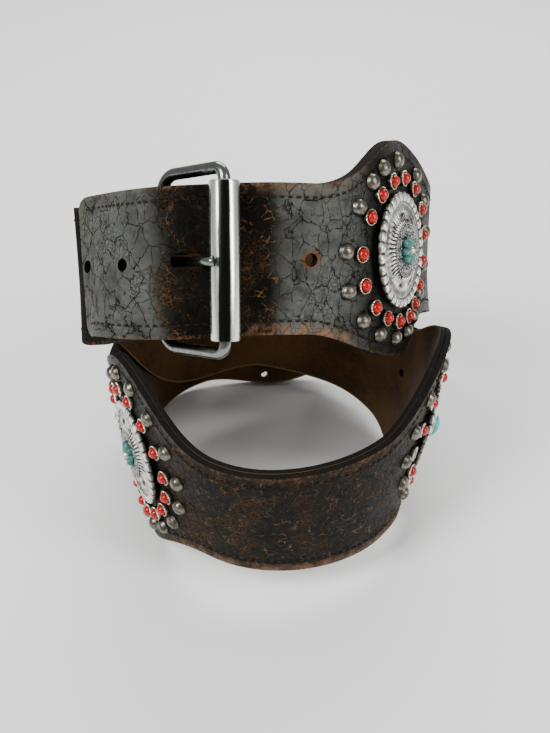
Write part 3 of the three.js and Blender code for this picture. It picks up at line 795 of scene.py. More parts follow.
@dataclass
class BeltLine:
    """The belt's line and the strap's form along it, in millimetres."""

    girth: float = 987.0
    strap_width: float = 60.0
    gap: float = 0.3
    leather_thick: float = 2.7
    lining_thick: float = 2.2
    swell_rise: float = 17.0
    swell_half_length: float = 54.0
    tip_length: float = 36.0
    tip_lift: float = 3.0
    tip_stand_off: float = 0.9
    tip_corner: float = 6.0
    fold_length: float = 36.0
    fold_slack: float = 3.1
    fold_closes: float = 14.0
    heel: float = -5.0
    heel_to_roller: float = 33.5
    wire_radius: float = 2.5
    roller_radius: float = 6.0
    roller_stand_off: float = 1.8
    buckle_turn: float = 2.5
    buckle_lift: float = 1.6
    shift: np.ndarray = field(default_factory=lambda: np.zeros(3))

    def __post_init__(self) -> None:
        """Fit the spline, measure it and find where the model stands."""
        rows = np.array(ROUTE, dtype=float)
        rows *= (self.girth, self.girth, self.strap_width, math.pi / 180.0)
        count = len(rows)
        matrix = np.eye(count) * 4 + np.roll(np.eye(count), 1, 0) + np.roll(np.eye(count), -1, 0)
        self.controls = np.linalg.solve(matrix, rows * 6)
        self.turns = np.linspace(0.0, count, count * 60 + 1)
        points = self.spline(self.turns)[:, :3]
        steps = np.linalg.norm(np.diff(points, axis=0), axis=1)
        self.distances = np.concatenate(([0.0], np.cumsum(steps)))
        self.length = float(self.distances[-1])
        self.roller = self.heel + self.heel_to_roller
        self.face = self.gap / 2 + self.leather_thick
        self.back = -self.gap / 2 - self.lining_thick
        self.heel_depth = self.fold_slack + self.wire_radius - self.back
        bar, _, _, _, reach, along = self.buckle()
        box = np.array([list(corner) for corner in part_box("buckle_roller")]) / MM
        self.shift = box.mean(axis=0) - (bar + along * reach)

    def spline(self, turns: np.ndarray) -> np.ndarray:
        """Position and lean at turns of the closed spline."""
        cell = np.floor(turns).astype(int)
        f = (turns - cell)[:, None]
        weights = ((1 - f) ** 3, 3 * f**3 - 6 * f**2 + 4, 3 * (f + f**2 - f**3) + 1, f**3)
        count = len(self.controls)
        return sum(w * self.controls[(cell - 1 + j) % count] for j, w in enumerate(weights)) / 6

    def at(self, places: np.ndarray) -> tuple[np.ndarray, ...]:
        """Centre, direction along, direction across and outward normal at places on the line."""
        places = np.atleast_1d(np.asarray(places, dtype=float))
        laps = np.floor(places / self.length)
        turns = np.interp(places - laps * self.length, self.distances, self.turns)
        values = self.spline(turns)
        ahead = self.spline(turns + 0.01)[:, :3] - self.spline(turns - 0.01)[:, :3]
        along = unit(ahead)
        outward = unit(np.cross(along, (0.0, 0.0, 1.0)))
        upward = np.cross(outward, along)
        lean = values[:, 3:4]
        across = upward * np.cos(lean) - outward * np.sin(lean)
        return values[:, :3], along, across, np.cross(along, across)

    def half_width(self, places: np.ndarray) -> np.ndarray:
        """Half the strap's width, with the swell at each disc."""
        half = np.full(np.shape(places), self.strap_width / 2)
        for place, _ in PANELS.values():
            away = np.abs(places - (self.heel + place))
            swell = 0.5 * (1 + np.cos(math.pi * away / self.swell_half_length))
            half = half + np.where(away < self.swell_half_length, self.swell_rise * swell, 0.0)
        return half

    def spots(self, places: np.ndarray) -> np.ndarray:
        """The strap's middle, where the tip lies on the buckle end."""
        centre, _, across, normal = self.at(places)
        past = np.maximum(0.0, self.heel - places) / self.tip_length
        full = self.face - self.back + 2 * self.gap
        rise = full * (1 - ease(places, self.heel + self.heel_depth, self.roller))
        rise = rise + self.tip_stand_off * past
        return centre + normal * rise[:, None] + across * (self.tip_lift * past**2)[:, None]

    def sections(self, places: np.ndarray) -> Sections:
        """Sections of the strap at places on the line."""
        places = np.atleast_1d(np.asarray(places, dtype=float))
        _, _, across, _ = self.at(places)
        ahead = unit(self.spots(places + 0.5) - self.spots(places - 0.5))
        normal = unit(np.cross(ahead, across))
        along = np.cross(across, normal)
        centre = self.spots(places) + self.shift
        return Sections(places, centre, along, across, normal, self.half_width(places))

    def seat(self, place: float, side: float, height: float) -> Matrix:
        """Matrix with X along the belt, Y across it and Z outwards, at a spot on the strap."""
        s = self.sections(np.array([place]))
        spot = s.centre[0] + s.across[0] * side + s.normal[0] * height
        return matrix_of(s.along[0], s.across[0], s.normal[0], spot)

    def buckle(self) -> tuple:
        """Heel bar, across, outward and along directions, and the roller's distance."""
        heel, _, heel_across, heel_normal = (row[0] for row in self.at(np.array([self.heel])))
        spot, along, across, normal = (row[0] for row in self.at(np.array([self.roller])))
        bar = heel - heel_normal * self.heel_depth
        face = self.gap / 2 + self.leather_thick
        axle = spot + normal * (face + self.roller_stand_off + self.roller_radius)
        across = unit(across + heel_across) + along * math.tan(math.radians(self.buckle_turn))
        across = unit(across)
        reach = axle - bar
        reach = reach - across * reach.dot(across)
        length = float(np.linalg.norm(reach))
        forward = reach / length
        outward = np.cross(forward, across)
        bar = bar + across * self.buckle_lift + self.shift
        return bar, across, outward, heel_normal, length, forward


def matrix_of(x: np.ndarray, y: np.ndarray, z: np.ndarray, spot: np.ndarray) -> Matrix:
    """Matrix from three directions and a place in millimetres."""
    rows = np.column_stack((x, y, z, np.asarray(spot) * MM))
    return Matrix([*map(list, rows), [0, 0, 0, 1]])


# --------------------------------------------------------------------------- the strap


@dataclass
class Strap:
    """Leather, lining and stitches of the whole strap, in millimetres."""

    line: BeltLine
    palette: Palette
    step: float = 1.7
    rows_across: int = 30
    edge_round: float = 0.7
    hole_radius: float = 2.7
    hole_pitch: float = 25.0
    extra_hole: float = 1.92
    used_hole_from_heel: float = 18.0
    used_hole_length: float = 13.5
    used_hole_half: float = 3.2
    lost_stud_radius: float = 2.1
    stitch_inset: float = 5.6
    stitch_pitch: float = 3.4

    def all_sections(self) -> Sections:
        """Fine sections from the tip, round the belt and back behind the heel bar."""
        line = self.line
        start = line.heel - line.tip_length
        end = line.heel + line.length
        corner = start + np.array([0.0, 0.02, 0.08, 0.17, 0.3, 0.45, 0.62, 0.8]) * line.tip_corner
        places = np.concatenate((corner, np.arange(start + line.tip_corner, end, self.step), [end]))
        strap = line.sections(places)
        left = np.clip(1 - (places - start) / line.tip_corner, 0.0, 1.0)
        strap.half = strap.half - line.tip_corner * (1 - np.sqrt(1 - left**2))
        return strap.joined_to(self.fold_sections(end))

    def fold_sections(self, end: float) -> Sections:
        """Sections round the heel bar and back behind the strap."""
        line = self.line
        _, ahead, heel_across, heel_normal = (row[0] for row in line.at(np.array([line.heel])))
        bar, across, *_ = line.buckle()
        angles = np.linspace(0, math.pi, 25)[1:]
        normal = np.outer(np.cos(angles), heel_normal) + np.outer(np.sin(angles), ahead)
        centre = bar - across * line.buckle_lift + normal * line.heel_depth
        count = len(angles)
        wide = np.full(count, line.strap_width / 2)
        side = np.tile(heel_across, (count, 1))
        turn = Sections(
            end + angles * line.heel_depth, centre, np.cross(side, normal), side, normal, wide
        )
        back = np.arange(1.0, line.fold_length + 0.1, 1.5)
        spot, forward, across_back, outward = line.at(line.heel - back)
        near = line.gap - 2 * line.back
        depth = 2 * line.heel_depth + (near - 2 * line.heel_depth) * ease(back, 0, line.fold_closes)
        rest = Sections(
            end + math.pi * line.heel_depth + back, spot - outward * depth[:, None] + line.shift,
            -forward, across_back, -outward, np.full(len(back), line.strap_width / 2),
        )
        return turn.joined_to(rest)

    def layer(
        self, name: str, low: float, high: float, finish: bpy.types.Material
    ) -> bpy.types.Object:
        """One layer of the strap as a solid with every hole cut.

        Args:
            name: The piece's name.
            low: Height of its inner face above the belt line.
            high: Height of its outer face.
            finish: The material of both faces.

        Returns:
            The layer.
        """
        s = self.all_sections()
        clear_selection()
        bpy.ops.mesh.primitive_grid_add(
            x_subdivisions=len(s.place) - 1, y_subdivisions=self.rows_across, size=1.0
        )
        piece = bpy.context.object
        piece.name = piece.data.name = name
        mesh = piece.data
        flat = np.empty(len(mesh.vertices) * 3)
        mesh.vertices.foreach_get("co", flat)
        flat = flat.reshape(-1, 3)
        spread = flat[:, 0].max() - flat[:, 0].min()
        row = np.rint((flat[:, 0] / spread + 0.5) * (len(s.place) - 1)).astype(int)
        side = flat[:, 1] / spread * 2
        side = np.sign(side) * (1 - (1 - np.abs(side)) ** 1.25)
        over = side * s.half[row]
        spots = s.centre[row] + s.across[row] * over[:, None] + s.normal[row] * (low + high) / 2
        mesh.vertices.foreach_set("co", (spots * MM).ravel())
        loops = np.empty(len(mesh.loops), dtype=int)
        mesh.loops.foreach_get("vertex_index", loops)
        from_tip = s.place[row] - s.place[0]
        edge = np.minimum(s.half[row] - np.abs(over), from_tip)
        for label, first, second in (("strap", s.place[row], over), ("edge", edge, over)):
            layer = mesh.uv_layers.new(name=label) if label != "strap" else mesh.uv_layers[0]
            layer.name = label
            pairs = np.column_stack((first, second))[loops] * MM
            layer.data.foreach_set("uv", pairs.ravel())
        mesh.materials.append(finish)
        mesh.materials.append(self.palette.edge)
        apply_modifier(
            piece, "SOLIDIFY", thickness=(high - low) * MM, offset=0.0, use_rim=True,
            material_offset_rim=1,
        )
        only(piece)
        bpy.ops.object.mode_set(mode="EDIT")
        bpy.ops.mesh.select_all(action="SELECT")
        bpy.ops.mesh.normals_make_consistent(inside=False)
        bpy.ops.object.mode_set(mode="OBJECT")
        apply_modifier(
            piece, "BEVEL", width=self.edge_round * MM, segments=2, limit_method="ANGLE",
            angle_limit=math.radians(50), material=1,
        )
        cutter = self.cutters(name + "_cutter")
        apply_modifier(piece, "BOOLEAN", object=cutter, operation="DIFFERENCE", solver="MANIFOLD")
        discard(cutter)
        smooth(piece, 35.0)
        return piece

    def cutters(self, name: str) -> bpy.types.Object:
        """Every hole's cutter, as one object."""
        line = self.line
        used = line.heel + self.used_hole_from_heel
        holes = [
            (used - self.hole_pitch, 0.0, self.hole_radius),
            (used - 2 * self.hole_pitch, 0.0, self.hole_radius),
            (used + self.extra_hole * self.hole_pitch, 0.0, self.hole_radius),
        ]
        spots = ring_spots(STUD_RING)
        for panel, number, along, across in LOST_STUDS:
            place = line.heel + PANELS[panel][0] + spots[number].along + along
            holes.append((place, spots[number].across + across, self.lost_stud_radius))
        parts = [self.round_cutter(*hole) for hole in holes]
        parts.append(self.slot_cutter(used))
        parts.append(self.fold_cutter())
        return joined(name, parts)

    def round_cutter(self, place: float, side: float, radius: float) -> bpy.types.Object:
        """Cutter of one round hole."""
        clear_selection()
        bpy.ops.mesh.primitive_cylinder_add(vertices=28, radius=radius * MM, depth=14 * MM)
        cutter = bpy.context.object
        cutter.data.transform(self.line.seat(place, side, 0.0))
        cutter.data.materials.append(self.palette.edge)
        return cutter

    def slot_cutter(self, used: float) -> bpy.types.Object:
        """Cutter of the stretched hole that the prong comes through."""
        bar, across, *_ = self.line.buckle()
        s = self.line.sections(np.array([used]))
        normal = s.normal[0]
        side = unit(across - normal * across.dot(normal))
        centre = s.centre[0] + side * (bar - s.centre[0]).dot(across)
        clear_selection()
        bpy.ops.mesh.primitive_cylinder_add(
            vertices=28, radius=self.used_hole_half * MM, depth=12 * MM
        )
        cutter = bpy.context.object
        run = self.used_hole_length / 2 - self.used_hole_half
        reshape(cutter, lambda p: p + np.sign(np.round(p[:, :1], 3)) * (run, 0, 0))
        cutter.data.transform(matrix_of(np.cross(side, normal), side, normal, centre))
        cutter.data.materials.append(self.palette.edge)
        return cutter

    def fold_cutter(self) -> bpy.types.Object:
        """Cutter of the slot in the fold, for the prong's eye."""
        bar, across, outward, _, _, forward = self.line.buckle()
        reach = self.line.heel_depth + self.line.face + 1
        clear_selection()
        bpy.ops.mesh.primitive_cube_add(size=1.0)
        cutter = bpy.context.object
        reshape(cutter, lambda p: p * MM * (2 * reach, 6.0, 2 * reach))
        cutter.data.transform(matrix_of(forward, across, outward, bar))
        cutter.data.materials.append(self.palette.edge)
        return cutter

    def stitches(self) -> bpy.types.Object:
        """Both rows of stitches, as one piece of many short threads."""
        clear_selection()
        bpy.ops.mesh.primitive_uv_sphere_add(segments=6, ring_count=4, radius=1.0)
        pattern = bpy.context.object
        reshape(pattern, lambda p: (p * MM)[:, [2, 0, 1]] * (1.15, 0.50, 0.36))
        pattern.data.materials.append(self.palette.thread)
        line = self.line
        start = line.heel - line.tip_length + self.stitch_inset
        places = np.arange(start, line.length + line.heel - 3.0, 0.25)
        s = line.sections(places)
        matrices = []
        for sign in (-1.0, 1.0):
            over = sign * (s.half - self.stitch_inset)
            path = s.centre + s.across * over[:, None] + s.normal * (line.face + 0.02)
            run = np.concatenate(([0.0], np.cumsum(np.linalg.norm(np.diff(path, axis=0), axis=1))))
            ahead = unit(np.gradient(path, axis=0))
            for want in np.arange(1.0, run[-1], self.stitch_pitch):
                i = int(np.searchsorted(run, want))
                normal = s.normal[i]
                forward = ahead[i]
                matrices.append(matrix_of(forward, np.cross(normal, forward), normal, path[i]))
        piece = scattered("stitches", pattern, matrices)
        discard(pattern)
        return piece

    def build(self) -> None:
        """Make the leather, the lining and the stitches."""
        line = self.line
        leather = self.layer("strap_leather", line.gap / 2, line.face, self.palette.leather)
        finished(leather, "leather", "belt_leather")
        lining = self.layer("strap_lining", line.back, -line.gap / 2, self.palette.suede)
        finished(lining, "suede", "suede_lining")
        finished(self.stitches(), "leather")


def scattered(name: str, pattern: bpy.types.Object, matrices: Iterable[Matrix]) -> bpy.types.Object:
    """One mesh of many copies of a small pattern.

    Args:
        name: The piece's name.
        pattern: The small object to copy.
        matrices: Where the copies go.

    Returns:
        The piece.
    """
    mesh = pattern.data
    points = np.empty(len(mesh.vertices) * 3)
    mesh.vertices.foreach_get("co", points)
    points = np.column_stack((points.reshape(-1, 3), np.ones(len(mesh.vertices))))
    faces = [list(polygon.vertices) for polygon in mesh.polygons]
    slots = [polygon.material_index for polygon in mesh.polygons]
    all_points, all_faces, all_slots = [], [], []
    for number, matrix in enumerate(matrices):
        all_points.append((points @ np.array(matrix).T)[:, :3])
        shift = number * len(points)
        all_faces.extend([[index + shift for index in face] for face in faces])
        all_slots.extend(slots)
    made = bpy.data.meshes.new(name)
    made.from_pydata(np.concatenate(all_points).tolist(), [], all_faces)
    for material in mesh.materials:
        made.materials.append(material)
    made.polygons.foreach_set("material_index", all_slots)
    made.polygons.foreach_set("use_smooth", [True] * len(all_faces))
    made.update()
    piece = bpy.data.objects.new(name, made)
    bpy.context.collection.objects.link(piece)
    return piece


# --------------------------------------------------------------------------- stones and studs


@dataclass(frozen=True)
class Spot:
    """A place in a ring of trim."""

    number: int
    along: float
    across: float


def ring_spots(radius: float, shifts: dict[int, float] | None = None) -> list[Spot]:
    """The sixteen places of a ring.

    Args:
        radius: The ring's radius in millimetres.
        shifts: Degrees by which hand-set trim is off its even place, by ring number.

    Returns:
        The places, in ring order.
    """
    spots = []
    for number in range(16):
        angle = math.radians((number + 0.5) * 22.5 + (shifts or {}).get(number, 0.0))
        spots.append(Spot(number, radius * math.cos(angle), radius * math.sin(angle)))
    return spots


@dataclass
class Trim:
    """Coral stones in bezels and domed studs round every disc, in millimetres."""

    line: BeltLine
    palette: Palette
    stone_ring: float = STONE_RING
    stud_ring: float = STUD_RING
    rim_from: float = 1.5
    stone_shifts: dict = field(default_factory=lambda: {7: 7.0, 8: 9.0, 9: 8.0, 10: 3.0})
    stud_shifts: dict = field(
        default_factory=lambda: {3: 8.0, 4: 8.0, 5: 2.0, 7: 6.0, 8: 8.0, 9: 8.0, 10: 3.0}
    )
    lost_stones: dict = field(default_factory=lambda: {"d": (7, 9)})
    lost_studs: dict = field(
        default_factory=lambda: {panel: (number,) for panel, number, *_ in LOST_STUDS}
    )

    def stud(self) -> bpy.types.Object:
        """A domed stud with a thin lip."""
        profile = [(0.0, -0.5), (3.5, -0.5), (3.72, 0.0), (3.72, 0.28)]
        for i in range(9):
            angle = math.radians(i * 10 + 6)
            profile.append((3.5 * math.cos(angle), 0.35 + 2.75 * math.sin(angle)))
        profile.append((0.0, 3.1))
        piece = spun("stud_pattern", profile, 24)
        piece.data.materials.append(self.palette.pewter)
        smooth(piece)
        return piece

    def bezel(self) -> bpy.types.Object:
        """A dark serrated bezel with a bright rim."""
        profile = [
            (0.0, -0.5), (3.2, -0.5), (3.45, 0.0), (3.42, 0.9), (3.36, 1.45), (3.38, 1.9),
            (3.22, 2.1), (3.02, 2.0), (2.92, 1.5), (2.80, 0.5), (0.0, 0.5),
        ]
        piece = spun("bezel_pattern", profile, 40)

        def serrate(points: np.ndarray) -> np.ndarray:
            angle = np.arctan2(points[:, 1], points[:, 0])
            high = ease(points[:, 2], 0.7, 2.0)
            wave = np.cos(20 * angle)
            scale = 1 + 0.035 * wave * high
            moved = points * np.column_stack((scale, scale, np.ones(len(points))))
            moved[:, 2] += 0.16 * wave * high
            return moved

        reshape(piece, serrate)
        piece.data.materials.append(self.palette.bezel)
        piece.data.materials.append(self.palette.pewter)
        for polygon in piece.data.polygons:
            if polygon.center.z < self.rim_from * MM:
                polygon.material_index = 1
        smooth(piece)
        return piece

    def stone(self) -> bpy.types.Object:
        """A coral in its bezel."""
        profile = [(0.0, 0.6), (2.40, 0.6), (2.52, 1.3)]
        for i in range(8):
            angle = math.radians(i * 11.25 + 8)
            profile.append((2.55 * math.cos(angle), 1.75 + 2.60 * math.sin(angle)))
        profile.append((0.0, 4.32))
        stone = spun("coral_stone", profile, 20)
        stone.data.materials.append(self.palette.coral)
        smooth(stone)
        return joined("coral_pattern", [self.bezel(), stone])

    def build(self) -> None:
        """Make the trim of every panel."""
        stud, stone, empty = self.stud(), self.stone(), self.bezel()
        face = self.line.face
        for name, (from_heel, _) in PANELS.items():
            place = self.line.heel + from_heel
            first = name == "a"
            stones = ring_spots(self.stone_ring, self.stone_shifts if first else None)
            studs = ring_spots(self.stud_ring, self.stud_shifts if first else None)
            height = face + self.line.gap if first else face
            made: dict[str, list] = {"coral": [], "stud": []}
            for spot in stones:
                lost = spot.number in self.lost_stones.get(name, ())
                matrix = self.line.seat(place + spot.along, spot.across, height)
                label = f"coral_stone_{name}_{spot.number + 1}"
                made["coral"].append(copied(label, empty if lost else stone, matrix))
            for spot in studs:
                if spot.number in self.lost_studs.get(name, ()):
                    continue
                matrix = self.line.seat(place + spot.along, spot.across, height)
                made["stud"].append(copied(f"domed_stud_{name}_{spot.number + 1}", stud, matrix))
            for kind, slot in (("coral", "coral"), ("stud", "pewter")):
                if first:
                    for number, piece in enumerate(made[kind], 1):
                        finished(piece, slot, f"{kind}_{number}")
                else:
                    finished(joined(f"{kind}_ring_{name}", made[kind]), slot, "belt_leather")
        for pattern in (stud, stone, empty):
            discard(pattern)


# --------------------------------------------------------------------------- the discs


@dataclass
class Concho:
    """A fluted silver disc with its middle, in millimetres."""

    line: BeltLine
    palette: Palette
    radius: float = 25.5
    scallops: int = 32
    flutes: int = 44
    hatches: int = 56
    plaque: float = 11.6
    crown: float = 3.4

    def disc(self) -> bpy.types.Object:
        """The disc: a scalloped rim, fluted dish, hatched ring and flat plaque."""
        profile = [(0.0, 0.0), (24.6, 0.0), (25.3, 0.35), (25.4, 1.5), (25.1, 2.0)]
        radii = (24.6, 24.0, 23.3, 22.6, 21.9, 21.2, 20.6, 20.0, 19.2, 18.3, 17.4, 16.5, 15.6,
                 14.8, 14.1, 13.7, 13.3, 12.9, 12.5, 12.1, 11.8, 11.4, 10.8, 8.0)
        profile += [(radius, 2.0) for radius in radii] + [(0.0, 2.0)]
        piece = spun("disc_pattern", profile, 224)
        reshape(piece, self.relief)
        piece.data.materials.append(self.palette.disc)
        smooth(piece, 60.0)
        return piece

    def relief(self, points: np.ndarray) -> np.ndarray:
        """Press the disc's pattern into its points."""
        radius = np.hypot(points[:, 0], points[:, 1])
        angle = np.arctan2(points[:, 1], points[:, 0])
        top = points[:, 2] > 1.9
        petal = np.abs(np.cos(angle * self.scallops / 2))
        rim = ease(radius, 20.4, 21.6)
        swell = np.sin(np.clip((radius - 20.4) / 5.0, 0, 1) * math.pi) ** 0.7
        height = 1.55 + rim * 1.15 * swell * (0.25 + 0.75 * petal)
        dish = np.clip((20.6 - radius) / 6.6, 0, 1)
        flute = np.cos(angle * self.flutes)
        height += 1.25 * dish**1.6
        height += 0.34 * flute * np.sin(np.clip((radius - 13.9) / 6.0, 0, 1) * math.pi)
        hatch = np.cos(angle * self.hatches)
        in_hatch = ease(radius, 11.7, 12.2) * (1 - ease(radius, 13.3, 13.9))
        height += in_hatch * (0.25 + 0.32 * hatch)
        height += 0.45 * (1 - ease(radius, 10.9, 11.7)) + 0.25 * (1 - ease(radius, 13.4, 14.0))
        moved = points.copy()
        moved[:, 2] = np.where(top, height, points[:, 2])
        scallop = 1 - 0.030 * (1 - petal**0.8) * ease(radius, 22.0, 25.0)
        moved[:, 0] *= scallop
        moved[:, 1] *= scallop
        return moved

    def filigree(self) -> bpy.types.Object:
        """Scrolls, grains and a beaded border on the plaque."""
        parts = []
        base = self.crown + 0.12
        for i in range(12):
            angle = i * math.tau / 12
            parts.append(self.ring_wire(9.3, angle, base, 1.75, 0.30))
            parts.append(self.ring_wire(9.3, angle, base, 0.75, 0.26))
            parts.append(self.grain(7.0, angle + math.tau / 24, base, 0.55))
            parts.append(self.grain(10.9, angle + math.tau / 24, base - 0.1, 0.42))
        for i in range(52):
            parts.append(self.grain(11.7, i * math.tau / 52, base - 0.1, 0.44))
        piece = joined("filigree_pattern", parts)
        piece.data.materials.clear()
        piece.data.materials.append(self.palette.silver)
        return piece

    def ring_wire(
        self, out: float, angle: float, height: float, major: float, minor: float
    ) -> bpy.types.Object:
        """A small ring of wire on the plaque."""
        clear_selection()
        bpy.ops.mesh.primitive_torus_add(
            major_segments=14, minor_segments=5, major_radius=major * MM, minor_radius=minor * MM
        )
        return self.put(out, angle, height)

    def grain(self, out: float, angle: float, height: float, radius: float) -> bpy.types.Object:
        """A grain of silver on the plaque."""
        clear_selection()
        bpy.ops.mesh.primitive_ico_sphere_add(subdivisions=1, radius=radius * MM)
        return self.put(out, angle, height)

    def put(self, out: float, angle: float, height: float) -> bpy.types.Object:
        """Move the newest object out to an angle, into its mesh, and shade it smooth."""
        piece = bpy.context.object
        spot = Vector((out * math.cos(angle), out * math.sin(angle), height)) * MM
        piece.data.transform(Matrix.Translation(spot))
        piece.data.polygons.foreach_set("use_smooth", [True] * len(piece.data.polygons))
        return piece

    def cluster(self) -> bpy.types.Object:
        """Turquoise petals round a beaded cup."""
        parts = []
        base = self.crown + 0.4
        lengths = (3.4, 3.7, 3.2, 3.6, 3.3, 3.8, 3.5, 3.3)
        for i, size in enumerate(lengths):
            clear_selection()
            bpy.ops.mesh.primitive_uv_sphere_add(segments=14, ring_count=9, radius=1.0)
            piece = bpy.context.object
            lump = 0.10 + 0.03 * (i % 3)

            def chip(points: np.ndarray, size: float = size, lump: float = lump) -> np.ndarray:
                shaped = points * MM * (size * 0.62, 1.75, 1.9)
                wobble = np.sin(points[:, :1] * MM * 5 + i) * lump
                return shaped * (1 + wobble)

            reshape(piece, chip)
            angle = i * math.tau / len(lengths)
            out = Matrix.Translation(Vector((4.1, 0, base + 0.5)) * MM)
            piece.data.transform(Matrix.Rotation(angle, 4, "Z") @ out)
            piece.data.materials.append(self.palette.turquoise)
            piece.data.polygons.foreach_set("use_smooth", [True] * len(piece.data.polygons))
            parts.append(piece)
        outline = (
            (0.0, -0.3), (2.2, -0.3), (2.1, 1.4), (1.6, 1.9), (1.5, 2.6), (0.9, 3.3), (0.0, 3.5),
        )
        cup = spun("cup", [(radius, base + height) for radius, height in outline], 24)

        def flute(points: np.ndarray) -> np.ndarray:
            wave = np.cos(12 * np.arctan2(points[:, 1:2], points[:, :1]))
            return points * (1 + 0.05 * wave) ** [1, 1, 0]

        reshape(cup, flute)
        cup.data.materials.append(self.palette.bezel)
        smooth(cup)
        parts.append(cup)
        return joined("cluster_pattern", parts)

    def cabochon(self) -> bpy.types.Object:
        """One smooth turquoise in a plain cup."""
        base = self.crown + 0.3
        outline = ((0.0, 0.0), (6.2, 0.0), (6.3, 1.3), (5.9, 1.6), (5.6, 1.0), (0.0, 1.0))
        cup = spun("cup", [(radius, base + height) for radius, height in outline], 36)
        cup.data.materials.append(self.palette.bezel)
        smooth(cup)
        profile = [(0.0, base + 1.1), (5.6, base + 1.1)]
        for i in range(8):
            angle = math.radians(i * 11.25 + 6)
            profile.append((5.65 * math.cos(angle), base + 1.2 + 3.3 * math.sin(angle)))
        profile.append((0.0, base + 4.5))
        stone = spun("cabochon_stone", profile, 36)
        stone.data.materials.append(self.palette.cabochon)
        smooth(stone)
        return joined("cabochon_pattern", [stone, cup])

    def build(self) -> None:
        """Make every disc and its middle."""
        disc = joined("concho_pattern", [self.disc(), self.filigree()])
        middles = {CentreStyle.CLUSTER: self.cluster(), CentreStyle.CABOCHON: self.cabochon()}
        for name, (from_heel, stand_off) in PANELS.items():
            matrix = self.line.seat(self.line.heel + from_heel, 0.0, self.line.face + stand_off)
            style = CentreStyle.CABOCHON if name == "d" else CentreStyle.CLUSTER
            finished(copied(f"silver_disc_{name}", disc, matrix), "silver", f"concho_{name}")
            middle = copied(f"turquoise_{name}", middles[style], matrix)
            finished(middle, "turquoise", f"centre_stone_{name}")
        for pattern in (disc, *middles.values()):
            discard(pattern)


# --------------------------------------------------------------------------- the buckle


